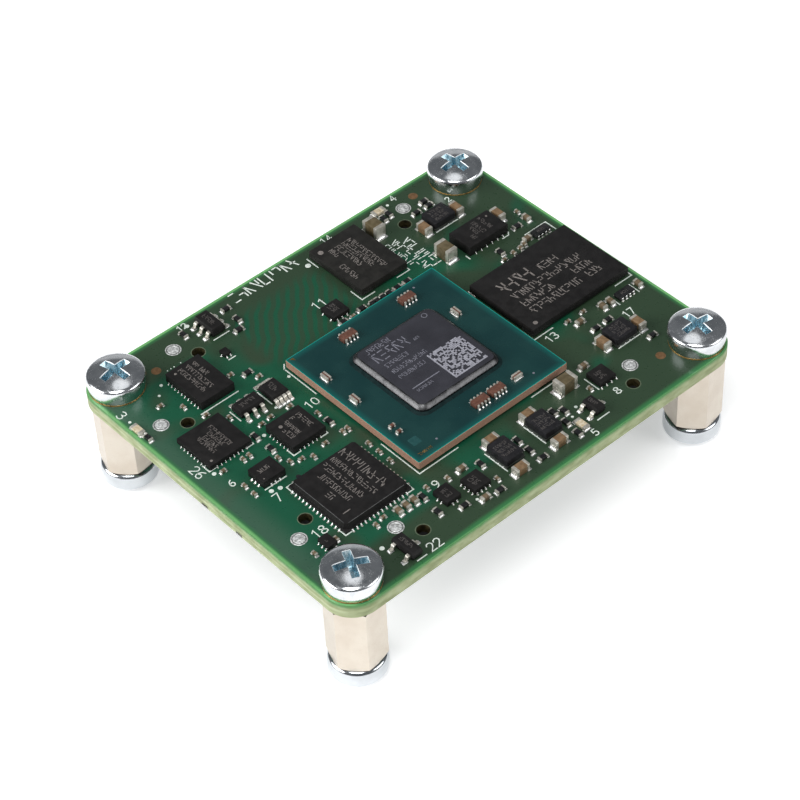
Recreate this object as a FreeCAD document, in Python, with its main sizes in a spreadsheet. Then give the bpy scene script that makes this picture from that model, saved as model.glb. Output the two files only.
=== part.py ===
import FreeCAD, Part
import math
import os

import Sketcher
from FreeCAD import Rotation, Vector

# System on module: a 50 x 40 mm circuit board that carries a lidded processor, memory, power modules
# and many small parts, and stands on four hexagonal standoffs. Each standoff is held by one screw from
# above and one from below, whose heads are the module's feet. Three connectors hang under the board.
# Millimetres. The origin is the middle of the board's outline, at the height of the feet's ends.
# X runs along the board's long side, Y along the short side, Z up.

SIZES = {
    # Circuit board and its holes
    "board_length": 50.0,
    "board_width": 40.0,
    "board_thickness": 1.6,
    "board_corner_radius": 3.0,
    "screw_inset": 3.0,
    "screw_hole_clearance": 0.15,
    "peg_clearance": 0.05,
    "tab_clearance": 0.05,
    # Screws: pan heads with a cross recess
    "shank_radius": 1.45,
    "top_screw_length": 5.0,
    "foot_screw_length": 4.0,
    "head_radius": 2.9,
    "head_height": 2.4,
    "head_rim_height": 1.7,
    "head_land_radius": 2.2,
    "recess_depth": 1.5,
    "recess_span": 2.85,
    "recess_arm": 0.8,
    "recess_floor_span": 1.1,
    "recess_floor_arm": 0.5,
    # Hexagonal standoffs
    "standoff_length": 8.0,
    "standoff_across_flats": 5.0,
    "standoff_turn": 11.0,
    "thread_clearance": 0.05,
    # Processor: substrate on solder balls, metal lid on a ring of adhesive
    "processor_side": 19.0,
    "processor_x": 0.6,
    "processor_y": -1.92,
    "processor_ball_height": 0.35,
    "ball_field_inset": 0.5,
    "substrate_height": 0.85,
    "lid_side": 10.4,
    "lid_height": 0.68,
    "lid_corner_radius": 1.0,
    "lid_edge_bevel": 0.22,
    "adhesive_height": 0.07,
    "adhesive_margin": 0.35,
    # Capacitor arrays on the substrate
    "array_length": 1.75,
    "array_width": 0.85,
    "array_height": 0.53,
    "array_pitch": 0.43,
    "array_end_width": 0.2,
    "array_end_reach": 0.2,
    # Memory and flash chips on solder balls
    "chip_ball_height": 0.25,
    "memory_length": 13.0,
    "memory_width": 9.0,
    "memory_height": 0.85,
    "memory_x": 17.5,
    "memory_y": -1.4,
    "flash_length": 6.0,
    "flash_width": 8.0,
    "flash_height": 0.85,
    "flash_x": 6.0,
    "flash_y": 14.0,
    # Network chip: a flange with leads and a tapered mould on it
    "network_side": 8.0,
    "network_x": -14.8,
    "network_y": -8.5,
    "network_flange_height": 0.25,
    "network_mould_height": 0.6,
    "network_mould_taper": 20.0,
    "network_mould_inset": 0.1,
    "network_pins": 14,
    "network_lead_reach": 0.4,
    # Leadless chips
    "lead_pitch": 0.5,
    "lead_width": 0.24,
    "lead_reach": 0.3,
    "lead_height": 0.2,
    "port_side": 5.0,
    "port_height": 0.6,
    "port_x": -20.1,
    "port_y": 4.6,
    "port_pins": 8,
    "clock_side": 4.0,
    "clock_height": 0.9,
    "clock_x": -13.7,
    "clock_y": 0.4,
    "clock_pins": 6,
    "timer_length": 4.0,
    "timer_width": 5.5,
    "timer_height": 1.0,
    "timer_x": -16.2,
    "timer_y": 11.55,
    "timer_pins": 10,
    "oscillator_length": 2.6,
    "oscillator_width": 2.3,
    "oscillator_height": 0.85,
    "oscillator_x": -19.2,
    "oscillator_y": -1.95,
    "oscillator_pins": 3,
    "converter_length": 5.2,
    "converter_width": 3.1,
    "converter_height": 1.15,
    "converter_x": 17.4,
    "converter_y": 8.6,
    "converter_lead_pitch": 0.74,
    "converter_pins": 6,
    # Power modules: a base plate and a moulded block on it
    "power_length": 2.3,
    "power_width": 2.9,
    "power_base_height": 0.3,
    "power_block_height": 0.7,
    "power_block_inset": 0.05,
    "power_block_chamfer": 0.25,
    # Small chips with bent legs
    "leg_thickness": 0.15,
    "leg_reach": 0.65,
    "leg_width": 0.38,
    "leg_ankle": 0.33,
    "legged_draft": 0.12,
    "legged_lift": 0.08,
    # Chip capacitors, resistors and lamps: length, width, height and the length of a metal end
    "bulk_length": 2.1,
    "bulk_width": 1.3,
    "bulk_height": 1.45,
    "bulk_end": 0.45,
    "large_length": 1.6,
    "large_width": 0.85,
    "large_height": 0.9,
    "large_end": 0.3,
    "medium_length": 1.0,
    "medium_width": 0.52,
    "medium_height": 0.5,
    "medium_end": 0.25,
    "reverse_length": 0.55,
    "reverse_width": 1.05,
    "reverse_height": 0.45,
    "reverse_end": 0.14,
    "small_length": 0.62,
    "small_width": 0.32,
    "small_height": 0.32,
    "resistor_length": 1.0,
    "resistor_width": 0.5,
    "resistor_height": 0.35,
    "lamp_length": 1.5,
    "lamp_width": 0.75,
    "lamp_height": 0.35,
    "lamp_end": 0.35,
    "end_wrap": 0.02,
    # Resistor networks
    "network_row_length": 2.0,
    "network_row_width": 1.0,
    "network_row_height": 0.45,
    "network_row_leg_reach": 0.2,
    "network_row_leg_width": 0.3,
    "network_row_leg_height": 0.35,
    # Connectors under the board
    "connector_width": 4.4,
    "connector_height": 2.4,
    "connector_base": 0.8,
    "connector_wall": 0.7,
    "connector_tongue": 0.9,
    "connector_tongue_drop": 0.3,
    "connector_end": 2.3,
    "connector_pitch": 0.5,
    "long_connector_pins": 50,
    "side_connector_pins": 30,
    "back_connector_y": 16.3,
    "front_connector_y": -15.9,
    "side_connector_x": -21.2,
    "peg_radius": 0.6,
    "peg_depth": 0.3,
    "tab_width": 0.8,
    "tab_thickness": 0.3,
    "tab_rise": 0.1,
    "contact_reach": 0.12,
    "contact_depth": 1.1,
}

# The heights that pieces stand on, as expressions on the sheet
UNDER_BOARD = "Sizes.head_height + Sizes.standoff_length"
ON_BOARD = UNDER_BOARD + " + Sizes.board_thickness"
ON_SUBSTRATE = ON_BOARD + " + Sizes.processor_ball_height + Sizes.substrate_height"
ON_CHIP_BALLS = ON_BOARD + " + Sizes.chip_ball_height"

# Small parts on the board: x, y and turn in degrees, from the middle of the board.
# With no turn, a part's length runs along X.
BULK_CAPACITORS = [(10.33, 16.44, 90), (13.1, 8.8, 90), (8.3, -12.95, 0)]

LARGE_CAPACITORS = [
    (-1.75, -13.35, 0), (-2.2, -17.8, 0), (3.0, -13.32, 0), (2.85, -17.73, 0),
    (14.1, 13.05, 90), (18.45, 13.05, 90), (15.03, -11.3, 90), (19.4, -11.7, 90), (20.8, 9.4, 90),
]

MEDIUM_CAPACITORS = [
    (-13.6, -13.8, 90), (-12.65, -13.8, 90), (-11.7, -13.8, 90), (-5.95, -13.9, 0),
    (-6.85, -18.05, 0), (11.55, -12.1, 0), (15.7, -7.5, 0), (20.55, 4.85, 0), (22.75, 7.2, 90),
    (18.9, -7.45, 90), (19.9, -7.5, 90), (23.7, -7.55, 90),
]

SMALL_CAPACITORS = [
    (-20.75, 11.95, 0), (-19.25, 10.3, 90), (-18.4, 8.0, 0), (-13.3, 10.6, 0), (-11.45, 8.55, 0),
    (-17.0, 6.15, 90), (-21.85, 1.2, 0), (-19.55, 1.05, 90), (-18.8, 1.05, 90), (-17.1, -1.05, 90),
    (-16.6, -2.2, 90), (-15.65, -2.65, 0), (-14.6, -3.2, 90), (-12.75, -2.65, 0), (-10.55, -2.65, 90),
    (-9.95, -2.65, 90), (-10.65, 0.8, 90), (-21.6, -1.65, 90), (-21.6, -3.05, 90), (-15.4, 3.4, 0),
    (-14.2, 3.55, 0), (-11.95, 3.4, 0), (-9.85, -5.5, 90), (-9.85, -6.95, 90), (-9.85, -8.5, 90),
    (-16.15, -13.65, 90), (-15.1, -13.35, 0), (-9.8, -13.4, 90), (-7.6, -13.85, 90), (-4.4, -17.05, 90),
    (9.95, -14.65, 90), (0.5, 8.55, 0),
    (16.8, 4.2, 0), (18.2, 4.3, 90), (19.2, 4.35, 90), (19.85, 4.5, 90), (14.95, -6.6, 0),
    (17.0, -6.6, 0), (22.8, 8.6, 90),
]

RESISTORS = [
    (-24.2, 9.4, 90), (-13.05, 18.1, 90), (-8.7, 14.9, 0), (-7.85, 16.15, 90), (-7.75, 18.1, 0),
    (-11.95, 9.65, 0), (-16.9, 2.5, 90), (-16.85, 0.3, 90), (-10.6, -0.75, 90),
    (-10.85, -14.0, 90), (-11.1, -16.3, 90), (-8.85, -17.4, 0), (-5.2, -18.25, 0), (-4.25, -14.65, 90),
    (0.25, -14.85, 90), (0.2, -16.5, 90), (0.45, -18.0, 0), (5.2, -14.5, 90), (5.15, -16.25, 90),
    (5.0, -18.0, 90), (6.1, -15.05, 90), (12.35, 17.3, 90), (13.2, 17.5, 90), (17.3, 5.3, 90),
    (21.2, 7.0, 0), (16.2, -9.2, 0),
    (17.9, -9.15, 0), (19.4, -13.65, 0), (-0.7, 8.55, 0), (1.85, 8.75, 0), (3.1, 8.45, 90),
    (3.7, 8.45, 90), (4.5, 8.45, 90), (5.3, 8.45, 90), (6.35, 8.6, 0), (7.65, 8.6, 0),
]

INDICATOR_LAMPS = [(-24.25, 10.9, 90), (12.7, 18.5, 0), (6.03, -17.45, 90)]

# Capacitors under the board, below the processor
UNDER_CAPACITORS = [
    (-2.4, -0.4, 90), (-0.4, -0.4, 90), (1.6, -0.4, 90), (3.6, -0.4, 90),
    (-2.4, -3.4, 90), (-0.4, -3.4, 90), (1.6, -3.4, 90), (3.6, -3.4, 90),
]

# Small parts on the processor's substrate, from the middle of the board. The metal ends of the
# reverse capacitors run along their long sides.
REVERSE_CAPACITORS = [(-7.72, 2.95, 0), (-7.72, -1.2, 0), (7.25, 1.0, 0), (5.3, -9.55, 90)]
TINY_CAPACITORS = [(-7.55, -6.2, 0), (-7.55, -7.2, 0)]
CAPACITOR_ARRAYS = [(-2.5, 5.7), (5.1, 5.7), (0.47, -9.6), (2.6, -9.6)]

# Power modules: x, y and turn; with no turn the long side runs along Y
POWER_MODULES = [(-1.78, -15.33, 0), (3.22, -15.28, 0), (16.3, 13.35, 90), (17.2, -11.35, 90)]

# Small leadless chips: x, y, length, width, height, and the count and pitch of the leads
# on the -X side and on the -Y side
LEADLESS_CHIPS = [
    (-0.25, 10.3, 2.0, 2.0, 0.6, (2, 1.2), (3, 0.6)),
    (-9.15, -15.4, 1.7, 2.0, 0.6, (2, 0.5), (2, 0.5)),
    (-6.2, -16.05, 2.0, 2.0, 0.6, (4, 0.5), (4, 0.5)),
    (11.8, -14.25, 2.0, 2.0, 0.6, (0, 0.5), (4, 0.65)),
    (-11.7, 13.3, 0.8, 0.9, 0.4, (1, 0.5), (2, 0.45)),
]

# Small chips with bent legs: x, y, turn, length across the legs, width along them, height,
# legs on the -X side, legs on the +X side and the spacing of each row
LEGGED_CHIPS = [
    (-10.45, 17.2, 0, 1.6, 2.9, 1.1, 3, 3, 0.95),
    (-14.9, 5.95, 90, 1.6, 2.9, 1.0, 3, 3, 0.95),
    (-11.85, 5.85, 90, 2.3, 2.0, 0.85, 4, 4, 0.5),
    (8.35, -16.7, 0, 1.25, 2.0, 0.95, 2, 1, 1.3),
]

NETWORK_ROWS = [(22.35, 4.75), (21.75, -7.6)]

# Small parts that keep their distance from a corner screw: the chip with bent legs and the resistors
# in X, the leadless chip and the capacitors in Y
SCREW_LEGGED_CHIPS = [(5.9, -17.7, 0, 1.3, 2.9, 1.0, 2, 1, 1.85)]
SCREW_RESISTORS = [(-4.95, 16.45, 0), (-6.65, 15.65, 0), (-4.95, 15.65, 0)]
SCREW_CHIPS = [(-20.7, 4.8, 1.1, 1.5, 0.5, (3, 0.5), (0, 0.5))]
SCREW_CAPACITORS = [(-22.4, 4.6, 90), (-19.85, 4.6, 90)]

# Sides of the screws' shanks and their holes, and of the connectors' pegs: all hidden when fitted
SHANK_SIDES = 10
PEG_SIDES = 8

# Turn of each screw's recess, in degrees, at the four corners and at the feet
SCREW_TURNS = {"front_left": -25.0, "front_right": -4.0, "back_left": 8.0, "back_right": 2.0}

# Connectors: the places of the tabs and pegs from a connector's middle, along it and across it
LONG_TAB = (15.0, 0.95)
LONG_PEG = (13.45, -1.0)
SIDE_TAB = (10.0, 1.0)
SIDE_PEG = (8.5, -1.0)


def make_sheet(doc):
    """Write the driving sizes into the spreadsheet, each with its alias."""
    sheet = doc.addObject("Spreadsheet::Sheet", "Sizes")
    for row, (name, value) in enumerate(SIZES.items(), start=1):
        sheet.set("A%d" % row, name.replace("_", " "))
        sheet.set("B%d" % row, str(value))
        sheet.setAlias("B%d" % row, name)
    doc.recompute()
    return sheet


def read(doc, name):
    """Read one driving size from the sheet."""
    return float(doc.Sizes.get(name))


def bind(item, **expressions):
    """Tie properties to the sheet; a double underscore in a name stands for a dot."""
    for path, expression in expressions.items():
        item.setExpression(path.replace("__", "."), expression)


def stand_at(item, x, y, height):
    """Tie an object's place to the sheet."""
    bind(item, Placement__Base__x=x, Placement__Base__y=y, Placement__Base__z=height)


# Sketches


def new_sketch(body, name, role, offset=None):
    """Start a sketch on one of the body's own origin planes, or at an offset from it."""
    sketch = body.newObject("Sketcher::SketchObject", name)
    plane = next(item for item in body.Origin.OriginFeatures if item.Role == role)
    sketch.AttachmentSupport = (plane, [""])
    sketch.MapMode = "FlatFace"
    if offset:
        bind(sketch, AttachmentOffset__Base__z=offset)
    return sketch


def drive(sketch, constraint, name, expression):
    """Add a dimension to a sketch and tie it to the sheet."""
    index = sketch.addConstraint(constraint)
    sketch.renameConstraint(index, name)
    sketch.setExpression("Constraints." + name, expression)


def fix_point(sketch, name, point, x, y):
    """Tie a point's distances from the origin to the sheet; x and y are a sign and an expression each."""
    ends = ((-1, 1), point)
    for axis, (sign, expression) in (("X", x), ("Y", y)):
        first, second = ends if sign > 0 else ends[::-1]
        constraint = Sketcher.Constraint("Distance" + axis, *first, *second, 5.0)
        drive(sketch, constraint, name + "_" + axis.lower(), expression)


def add_rectangle(sketch, name, length, width, place=None):
    """Draw a rectangle about the origin, or about a place from it, its sides tied to the sheet."""
    across, along = (5 * place[0][0], 5 * place[1][0]) if place else (0, 0)
    corners = [Vector(across + x, along + y, 0) for x, y in ((-1, -1), (1, -1), (1, 1), (-1, 1))]
    first = sketch.GeometryCount
    for index, corner in enumerate(corners):
        sketch.addGeometry(Part.LineSegment(corner, corners[(index + 1) % 4]))
    for index in range(4):
        after = (index + 1) % 4
        sketch.addConstraint(Sketcher.Constraint("Coincident", first + index, 2, first + after, 1))
    for index in (0, 2):
        sketch.addConstraint(Sketcher.Constraint("Horizontal", first + index))
        sketch.addConstraint(Sketcher.Constraint("Vertical", first + index + 1))
    middle = (-1, 1)
    if place:
        middle = (sketch.addGeometry(Part.Point(Vector(across, along, 0)), True), 1)
        fix_point(sketch, name, middle, *place)
    sketch.addConstraint(Sketcher.Constraint("Symmetric", first, 1, first + 2, 1, *middle))
    long_side = Sketcher.Constraint("DistanceX", first, 1, first, 2, 2.0)
    short_side = Sketcher.Constraint("DistanceY", first + 1, 1, first + 1, 2, 2.0)
    drive(sketch, long_side, name + "_length", length)
    drive(sketch, short_side, name + "_width", width)


def add_circle(sketch, name, x, y, radius):
    """Draw a circle at a place from the origin; x and y are a sign and an expression each."""
    circle = sketch.addGeometry(Part.Circle(Vector(5 * x[0], 5 * y[0], 0), Vector(0, 0, 1), 1))
    fix_point(sketch, name, (circle, 3), x, y)
    drive(sketch, Sketcher.Constraint("Radius", circle, 1.0), name + "_radius", radius)


def add_polygon(sketch, points):
    """Draw a closed outline of straight lines through points."""
    first = sketch.GeometryCount
    count = len(points)
    for index, point in enumerate(points):
        sketch.addGeometry(Part.LineSegment(Vector(*point, 0), Vector(*points[(index + 1) % count], 0)))
    for index in range(count):
        after = (index + 1) % count
        sketch.addConstraint(Sketcher.Constraint("Coincident", first + index, 2, first + after, 1))


def pad(body, sketch, height, name="Pad"):
    """Raise a solid from a sketch."""
    feature = body.newObject("PartDesign::Pad", name)
    feature.Profile = sketch
    bind(feature, Length=height)
    return feature


def cut_through(body, sketch, name):
    """Cut a sketch's shapes through the whole body, upwards from the sketch."""
    feature = body.newObject("PartDesign::Pocket", name)
    feature.Profile = sketch
    feature.Type = "ThroughAll"
    feature.Reversed = True
    return feature


def edges_along(shape, direction):
    """Name the straight edges of a shape that run along a direction."""
    names = []
    for number, edge in enumerate(shape.Edges, start=1):
        if edge.Curve.TypeId == "Part::GeomLine" and abs(edge.Curve.Direction.dot(direction)) > 0.999:
            names.append("Edge%d" % number)
    return names


def round_edges(body, base, names, radius, name):
    """Round some edges of the feature made last."""
    feature = body.newObject("PartDesign::Fillet", name)
    feature.Base = (base, names)
    bind(feature, Radius=radius)
    return feature


# Solids and groups of like solids


def box(length, width, height, x=0.0, y=0.0, z=0.0):
    """Make a box that stands on z with its middle at x, y."""
    return Part.makeBox(length, width, height, Vector(x - length / 2, y - width / 2, z))


def many_sided(sides, radius, height, x=0.0, y=0.0, z=0.0):
    """Make an upright bar with flat sides, its corners on a circle."""
    points = []
    for side in range(sides + 1):
        angle = math.tau * side / sides
        points.append(Vector(x + radius * math.cos(angle), y + radius * math.sin(angle), z))
    return Part.Face(Part.makePolygon(points)).extrude(Vector(0, 0, height))


def clear_radius(doc, clearance):
    """Corner radius of a many-sided hole whose flats clear a screw's shank by a clearance."""
    return (read(doc, "shank_radius") + read(doc, clearance)) / math.cos(math.pi / SHANK_SIDES)


def put(shape, x, y, turn=0.0):
    """Copy a shape to a place on the board, turned about Z."""
    copy = shape.copy()
    copy.rotate(Vector(0, 0, 0), Vector(0, 0, 1), turn)
    copy.translate(Vector(x, y, 0))
    return copy


def from_screw(doc, across, along, places):
    """Turn places given from a corner's screw into places from the board's middle.

    across and along are the sides of the board that the screw is on, or 0 where a place is already
    given from the middle in that direction.
    """
    x_away = read(doc, "board_length") / 2 - read(doc, "screw_inset")
    y_away = read(doc, "board_width") / 2 - read(doc, "screw_inset")
    return [(x + across * x_away, y + along * y_away, *rest) for x, y, *rest in places]


def spaced(count, pitch):
    """Distances of a row's members from the row's middle."""
    members = round(count)
    return [(step - (members - 1) / 2) * pitch for step in range(members)]


def keep_group(doc, label, solids, height):
    """Keep like solids as one object that stands at a height."""
    item = doc.addObject("Part::Feature", label)
    item.Shape = Part.makeCompound(solids)
    bind(item, Placement__Base__z=height)
    return item


def tapered(bottom, top, height, z=0.0):
    """Make a block between two rectangles, each a length and a width."""
    rings = []
    for (length, width), level in ((bottom, z), (top, z + height)):
        ring = []
        for across, along in ((-1, -1), (1, -1), (1, 1), (-1, 1)):
            ring.append(Vector(across * length / 2, along * width / 2, level))
        rings.append(ring)
    low, high = rings
    outlines = [low, high]
    for index in range(4):
        after = (index + 1) % 4
        outlines.append([low[index], low[after], high[after], high[index]])
    faces = [Part.Face(Part.makePolygon(outline + outline[:1])) for outline in outlines]
    return Part.makeSolid(Part.makeShell(faces))


# Board, screws and standoffs


def signed(value):
    """Split a number into its sign and its size, as an expression."""
    return math.copysign(1, value), repr(abs(value))


def make_board(doc):
    """Board with rounded corners, screw holes, and holes for the connectors' pegs and tabs."""
    body = doc.addObject("PartDesign::Body", "board_blank")
    outline = new_sketch(body, "board_outline", "XY_Plane")
    add_rectangle(outline, "board", "Sizes.board_length", "Sizes.board_width")
    blank = pad(body, outline, "Sizes.board_thickness")
    doc.recompute()
    corners = edges_along(blank.Shape, Vector(0, 0, 1))
    rounded = round_edges(body, blank, corners, "Sizes.board_corner_radius", "board_corners")
    doc.recompute()
    fixings = new_sketch(body, "connector_holes", "XY_Plane")
    for number, (x, y, turn) in enumerate(fixing_places(doc, "peg"), start=1):
        add_circle(fixings, "peg_%d" % number, signed(x), signed(y), "Sizes.peg_radius + Sizes.peg_clearance")
    long_side = "Sizes.tab_width + 2 * Sizes.tab_clearance"
    short_side = "Sizes.tab_thickness + 2 * Sizes.tab_clearance"
    for number, (x, y, turn) in enumerate(fixing_places(doc, "tab"), start=1):
        sides = (short_side, long_side) if turn else (long_side, short_side)
        add_rectangle(fixings, "tab_%d" % number, *sides, (signed(x), signed(y)))
    cut_through(body, fixings, "connector_hole_cut")
    doc.recompute()
    if body.Shape.Volume >= rounded.Shape.Volume:
        raise ValueError("the board's holes cut nothing")
    radius = clear_radius(doc, "screw_hole_clearance")
    thickness = read(doc, "board_thickness")
    cutters = [many_sided(SHANK_SIDES, radius, thickness, x, y) for name, x, y in corner_places(doc)]
    board = doc.addObject("Part::Cut", "circuit_board")
    board.Base = body
    board.Tool = keep_group(doc, "screw_holes", cutters, "0")
    stand_at(board, "0", "0", UNDER_BOARD)
    return board


def make_head(doc):
    """Pan head of a screw, seated at z = 0."""
    body = doc.addObject("PartDesign::Body", "screw_head")
    head = read(doc, "head_radius")
    top = read(doc, "head_height")
    profile = new_sketch(body, "head_profile", "XZ_Plane")
    rim = read(doc, "head_rim_height")
    add_polygon(profile, [(0, 0), (head, 0), (head, rim), (read(doc, "head_land_radius"), top), (0, top)])
    turned = body.newObject("PartDesign::Revolution", "head_turned")
    turned.Profile = profile
    turned.ReferenceAxis = (profile, ["V_Axis"])
    turned.Angle = 360.0
    doc.recompute()
    return body


def make_screw(doc, head, length):
    """Screw with its seat at z = 0, its shank down and its cross recess from above."""
    depth = read(doc, "recess_depth")
    floor = (read(doc, "recess_floor_span"), read(doc, "recess_floor_arm"))
    mouth = (read(doc, "recess_span"), read(doc, "recess_arm"))
    arm = tapered(floor, mouth, depth, read(doc, "head_height") - depth)
    shank = many_sided(SHANK_SIDES, read(doc, "shank_radius"), length, 0.0, 0.0, -length)
    screw = head.Shape.fuse(shank).cut(arm).cut(put(arm, 0.0, 0.0, 90.0))
    if screw.Volume >= head.Shape.Volume + shank.Volume:
        raise ValueError("the recess cuts nothing")
    return screw


def corner_places(doc):
    """Places of the four screws: name, x and y."""
    x = read(doc, "board_length") / 2 - read(doc, "screw_inset")
    y = read(doc, "board_width") / 2 - read(doc, "screw_inset")
    return [("front_left", -x, -y), ("front_right", x, -y), ("back_left", -x, y), ("back_right", x, y)]


def make_screws(doc):
    """Four screws from above, and four from below whose heads are the feet."""
    head = make_head(doc)
    top = make_screw(doc, head, read(doc, "top_screw_length"))
    foot = make_screw(doc, head, read(doc, "foot_screw_length"))
    foot.rotate(Vector(0, 0, 0), Vector(1, 0, 0), 180)
    top_copies = []
    foot_copies = []
    for name, x, y in corner_places(doc):
        top_copies.append(put(top, x, y, SCREW_TURNS[name]))
        foot_copies.append(put(foot, x, y, SCREW_TURNS[name]))
    return [
        keep_group(doc, "top_screws", top_copies, ON_BOARD),
        keep_group(doc, "foot_screws", foot_copies, "Sizes.head_height"),
    ]


def make_standoffs(doc):
    """Four hexagonal standoffs with a bore right through."""
    corner = read(doc, "standoff_across_flats") / math.sqrt(3)
    length = read(doc, "standoff_length")
    bore = many_sided(SHANK_SIDES, clear_radius(doc, "thread_clearance"), length)
    standoff = many_sided(6, corner, length).cut(bore)
    turn = read(doc, "standoff_turn")
    copies = [put(standoff, x, y, turn) for name, x, y in corner_places(doc)]
    return [keep_group(doc, "standoffs", copies, "Sizes.head_height")]


# Processor


def make_processor(doc):
    """Substrate, adhesive and lid of the processor."""
    x = "Sizes.processor_x"
    y = "Sizes.processor_y"
    substrate = doc.addObject("PartDesign::Body", "processor_substrate")
    outline = new_sketch(substrate, "substrate_outline", "XY_Plane")
    add_rectangle(outline, "substrate", "Sizes.processor_side", "Sizes.processor_side")
    pad(substrate, outline, "Sizes.substrate_height")
    stand_at(substrate, x, y, ON_BOARD + " + Sizes.processor_ball_height")
    adhesive = doc.addObject("Part::Box", "processor_adhesive")
    spread = "Sizes.lid_side + 2 * Sizes.adhesive_margin"
    bind(adhesive, Length=spread, Width=spread, Height="Sizes.adhesive_height")
    half = " - Sizes.lid_side / 2 - Sizes.adhesive_margin"
    stand_at(adhesive, x + half, y + half, ON_SUBSTRATE)
    lid = doc.addObject("PartDesign::Body", "processor_lid")
    lid_outline = new_sketch(lid, "lid_outline", "XY_Plane")
    add_rectangle(lid_outline, "lid", "Sizes.lid_side", "Sizes.lid_side")
    blank = pad(lid, lid_outline, "Sizes.lid_height")
    doc.recompute()
    upright = edges_along(blank.Shape, Vector(0, 0, 1))
    rounded = round_edges(lid, blank, upright, "Sizes.lid_corner_radius", "lid_corners")
    doc.recompute()
    rim = []
    for number, edge in enumerate(rounded.Shape.Edges, start=1):
        if edge.BoundBox.ZMin > read(doc, "lid_height") * 0.99:
            rim.append("Edge%d" % number)
    bevel = lid.newObject("PartDesign::Chamfer", "lid_rim")
    bevel.Base = (rounded, rim)
    bind(bevel, Size="Sizes.lid_edge_bevel")
    stand_at(lid, x, y, ON_SUBSTRATE + " + Sizes.adhesive_height")
    return [substrate, adhesive, lid]


def make_ball_fields(doc):
    """Fields of solder balls under the processor, the memory and the flash chip, a block for each."""
    inset = read(doc, "ball_field_inset")
    side = read(doc, "processor_side")
    fields = [("processor", side, side)]
    for name in ("memory", "flash"):
        fields.append((name, read(doc, name + "_length"), read(doc, name + "_width")))
    solids = []
    for name, length, width in fields:
        height = read(doc, "processor_ball_height" if name == "processor" else "chip_ball_height")
        x = read(doc, name + "_x")
        y = read(doc, name + "_y")
        solids.append(box(length - 2 * inset, width - 2 * inset, height, x, y))
    return [keep_group(doc, "solder_balls", solids, ON_BOARD)]


def make_arrays(doc):
    """Capacitor arrays on the substrate, four capacitors side by side in each."""
    length = read(doc, "array_length")
    width = read(doc, "array_width")
    height = read(doc, "array_height")
    pitch = read(doc, "array_pitch")
    end_width = read(doc, "array_end_width")
    reach = read(doc, "array_end_reach")
    bodies = []
    ends = []
    for x, y in CAPACITOR_ARRAYS:
        bodies.append(box(length, width, height, x, y))
        for step in (-1.5, -0.5, 0.5, 1.5):
            for side in (-1, 1):
                middle = y + side * (width + reach) / 2
                ends.append(box(end_width, reach, height, x + step * pitch, middle))
    return [
        keep_group(doc, "capacitor_arrays", bodies, ON_SUBSTRATE),
        keep_group(doc, "capacitor_array_ends", ends, ON_SUBSTRATE),
    ]


# Chips


def make_package(doc, name, label, height, length=None, width=None):
    """Body of a moulded chip."""
    body = doc.addObject("PartDesign::Body", label)
    outline = new_sketch(body, name + "_outline", "XY_Plane")
    length = length or "Sizes.%s_length" % name
    width = width or "Sizes.%s_width" % name
    add_rectangle(outline, name, length, width)
    pad(body, outline, "Sizes.%s_height" % name)
    stand_at(body, "Sizes.%s_x" % name, "Sizes.%s_y" % name, height)
    return body


def side_leads(doc, length, width, side, count, pitch, reach=None):
    """Leads in a row beside one edge of a chip; the side is w, e, s or n."""
    lead = read(doc, "lead_width")
    reach = reach or read(doc, "lead_reach")
    height = read(doc, "lead_height")
    solids = []
    for along in spaced(count, pitch):
        if side in "we":
            away = (length + reach) / 2 * (1 if side == "e" else -1)
            solids.append(box(reach, lead, height, away, along))
        else:
            away = (width + reach) / 2 * (1 if side == "n" else -1)
            solids.append(box(lead, reach, height, along, away))
    return solids


def edge_leads(doc, name, length, width, sides="wens", reach=None):
    """Leads beside several edges of a chip, as many on each as the sheet gives the chip."""
    pins = read(doc, name + "_pins")
    pitch = read(doc, "lead_pitch")
    solids = []
    for side in sides:
        solids += side_leads(doc, length, width, side, pins, pitch, reach)
    return solids


def lead_group(doc, label, name, solids):
    """Keep a chip's leads as one object round the chip's place."""
    x = read(doc, name + "_x")
    y = read(doc, name + "_y")
    return keep_group(doc, label, [put(solid, x, y) for solid in solids], ON_BOARD)


def make_network_chip(doc):
    """Network chip: a flange with leads round it and a tapered mould."""
    body = doc.addObject("PartDesign::Body", "network_chip")
    flange = new_sketch(body, "flange_outline", "XY_Plane")
    add_rectangle(flange, "flange", "Sizes.network_side", "Sizes.network_side")
    pad(body, flange, "Sizes.network_flange_height", "flange")
    doc.recompute()
    inner = "Sizes.network_side - 2 * Sizes.network_mould_inset"
    mould = new_sketch(body, "mould_outline", "XY_Plane", "Sizes.network_flange_height")
    add_rectangle(mould, "mould", inner, inner)
    block = pad(body, mould, "Sizes.network_mould_height", "mould")
    bind(block, TaperAngle="-Sizes.network_mould_taper")
    stand_at(body, "Sizes.network_x", "Sizes.network_y", ON_BOARD)
    side = read(doc, "network_side")
    leads = edge_leads(doc, "network", side, side, reach=read(doc, "network_lead_reach"))
    return [body, lead_group(doc, "network_chip_leads", "network", leads)]


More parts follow.
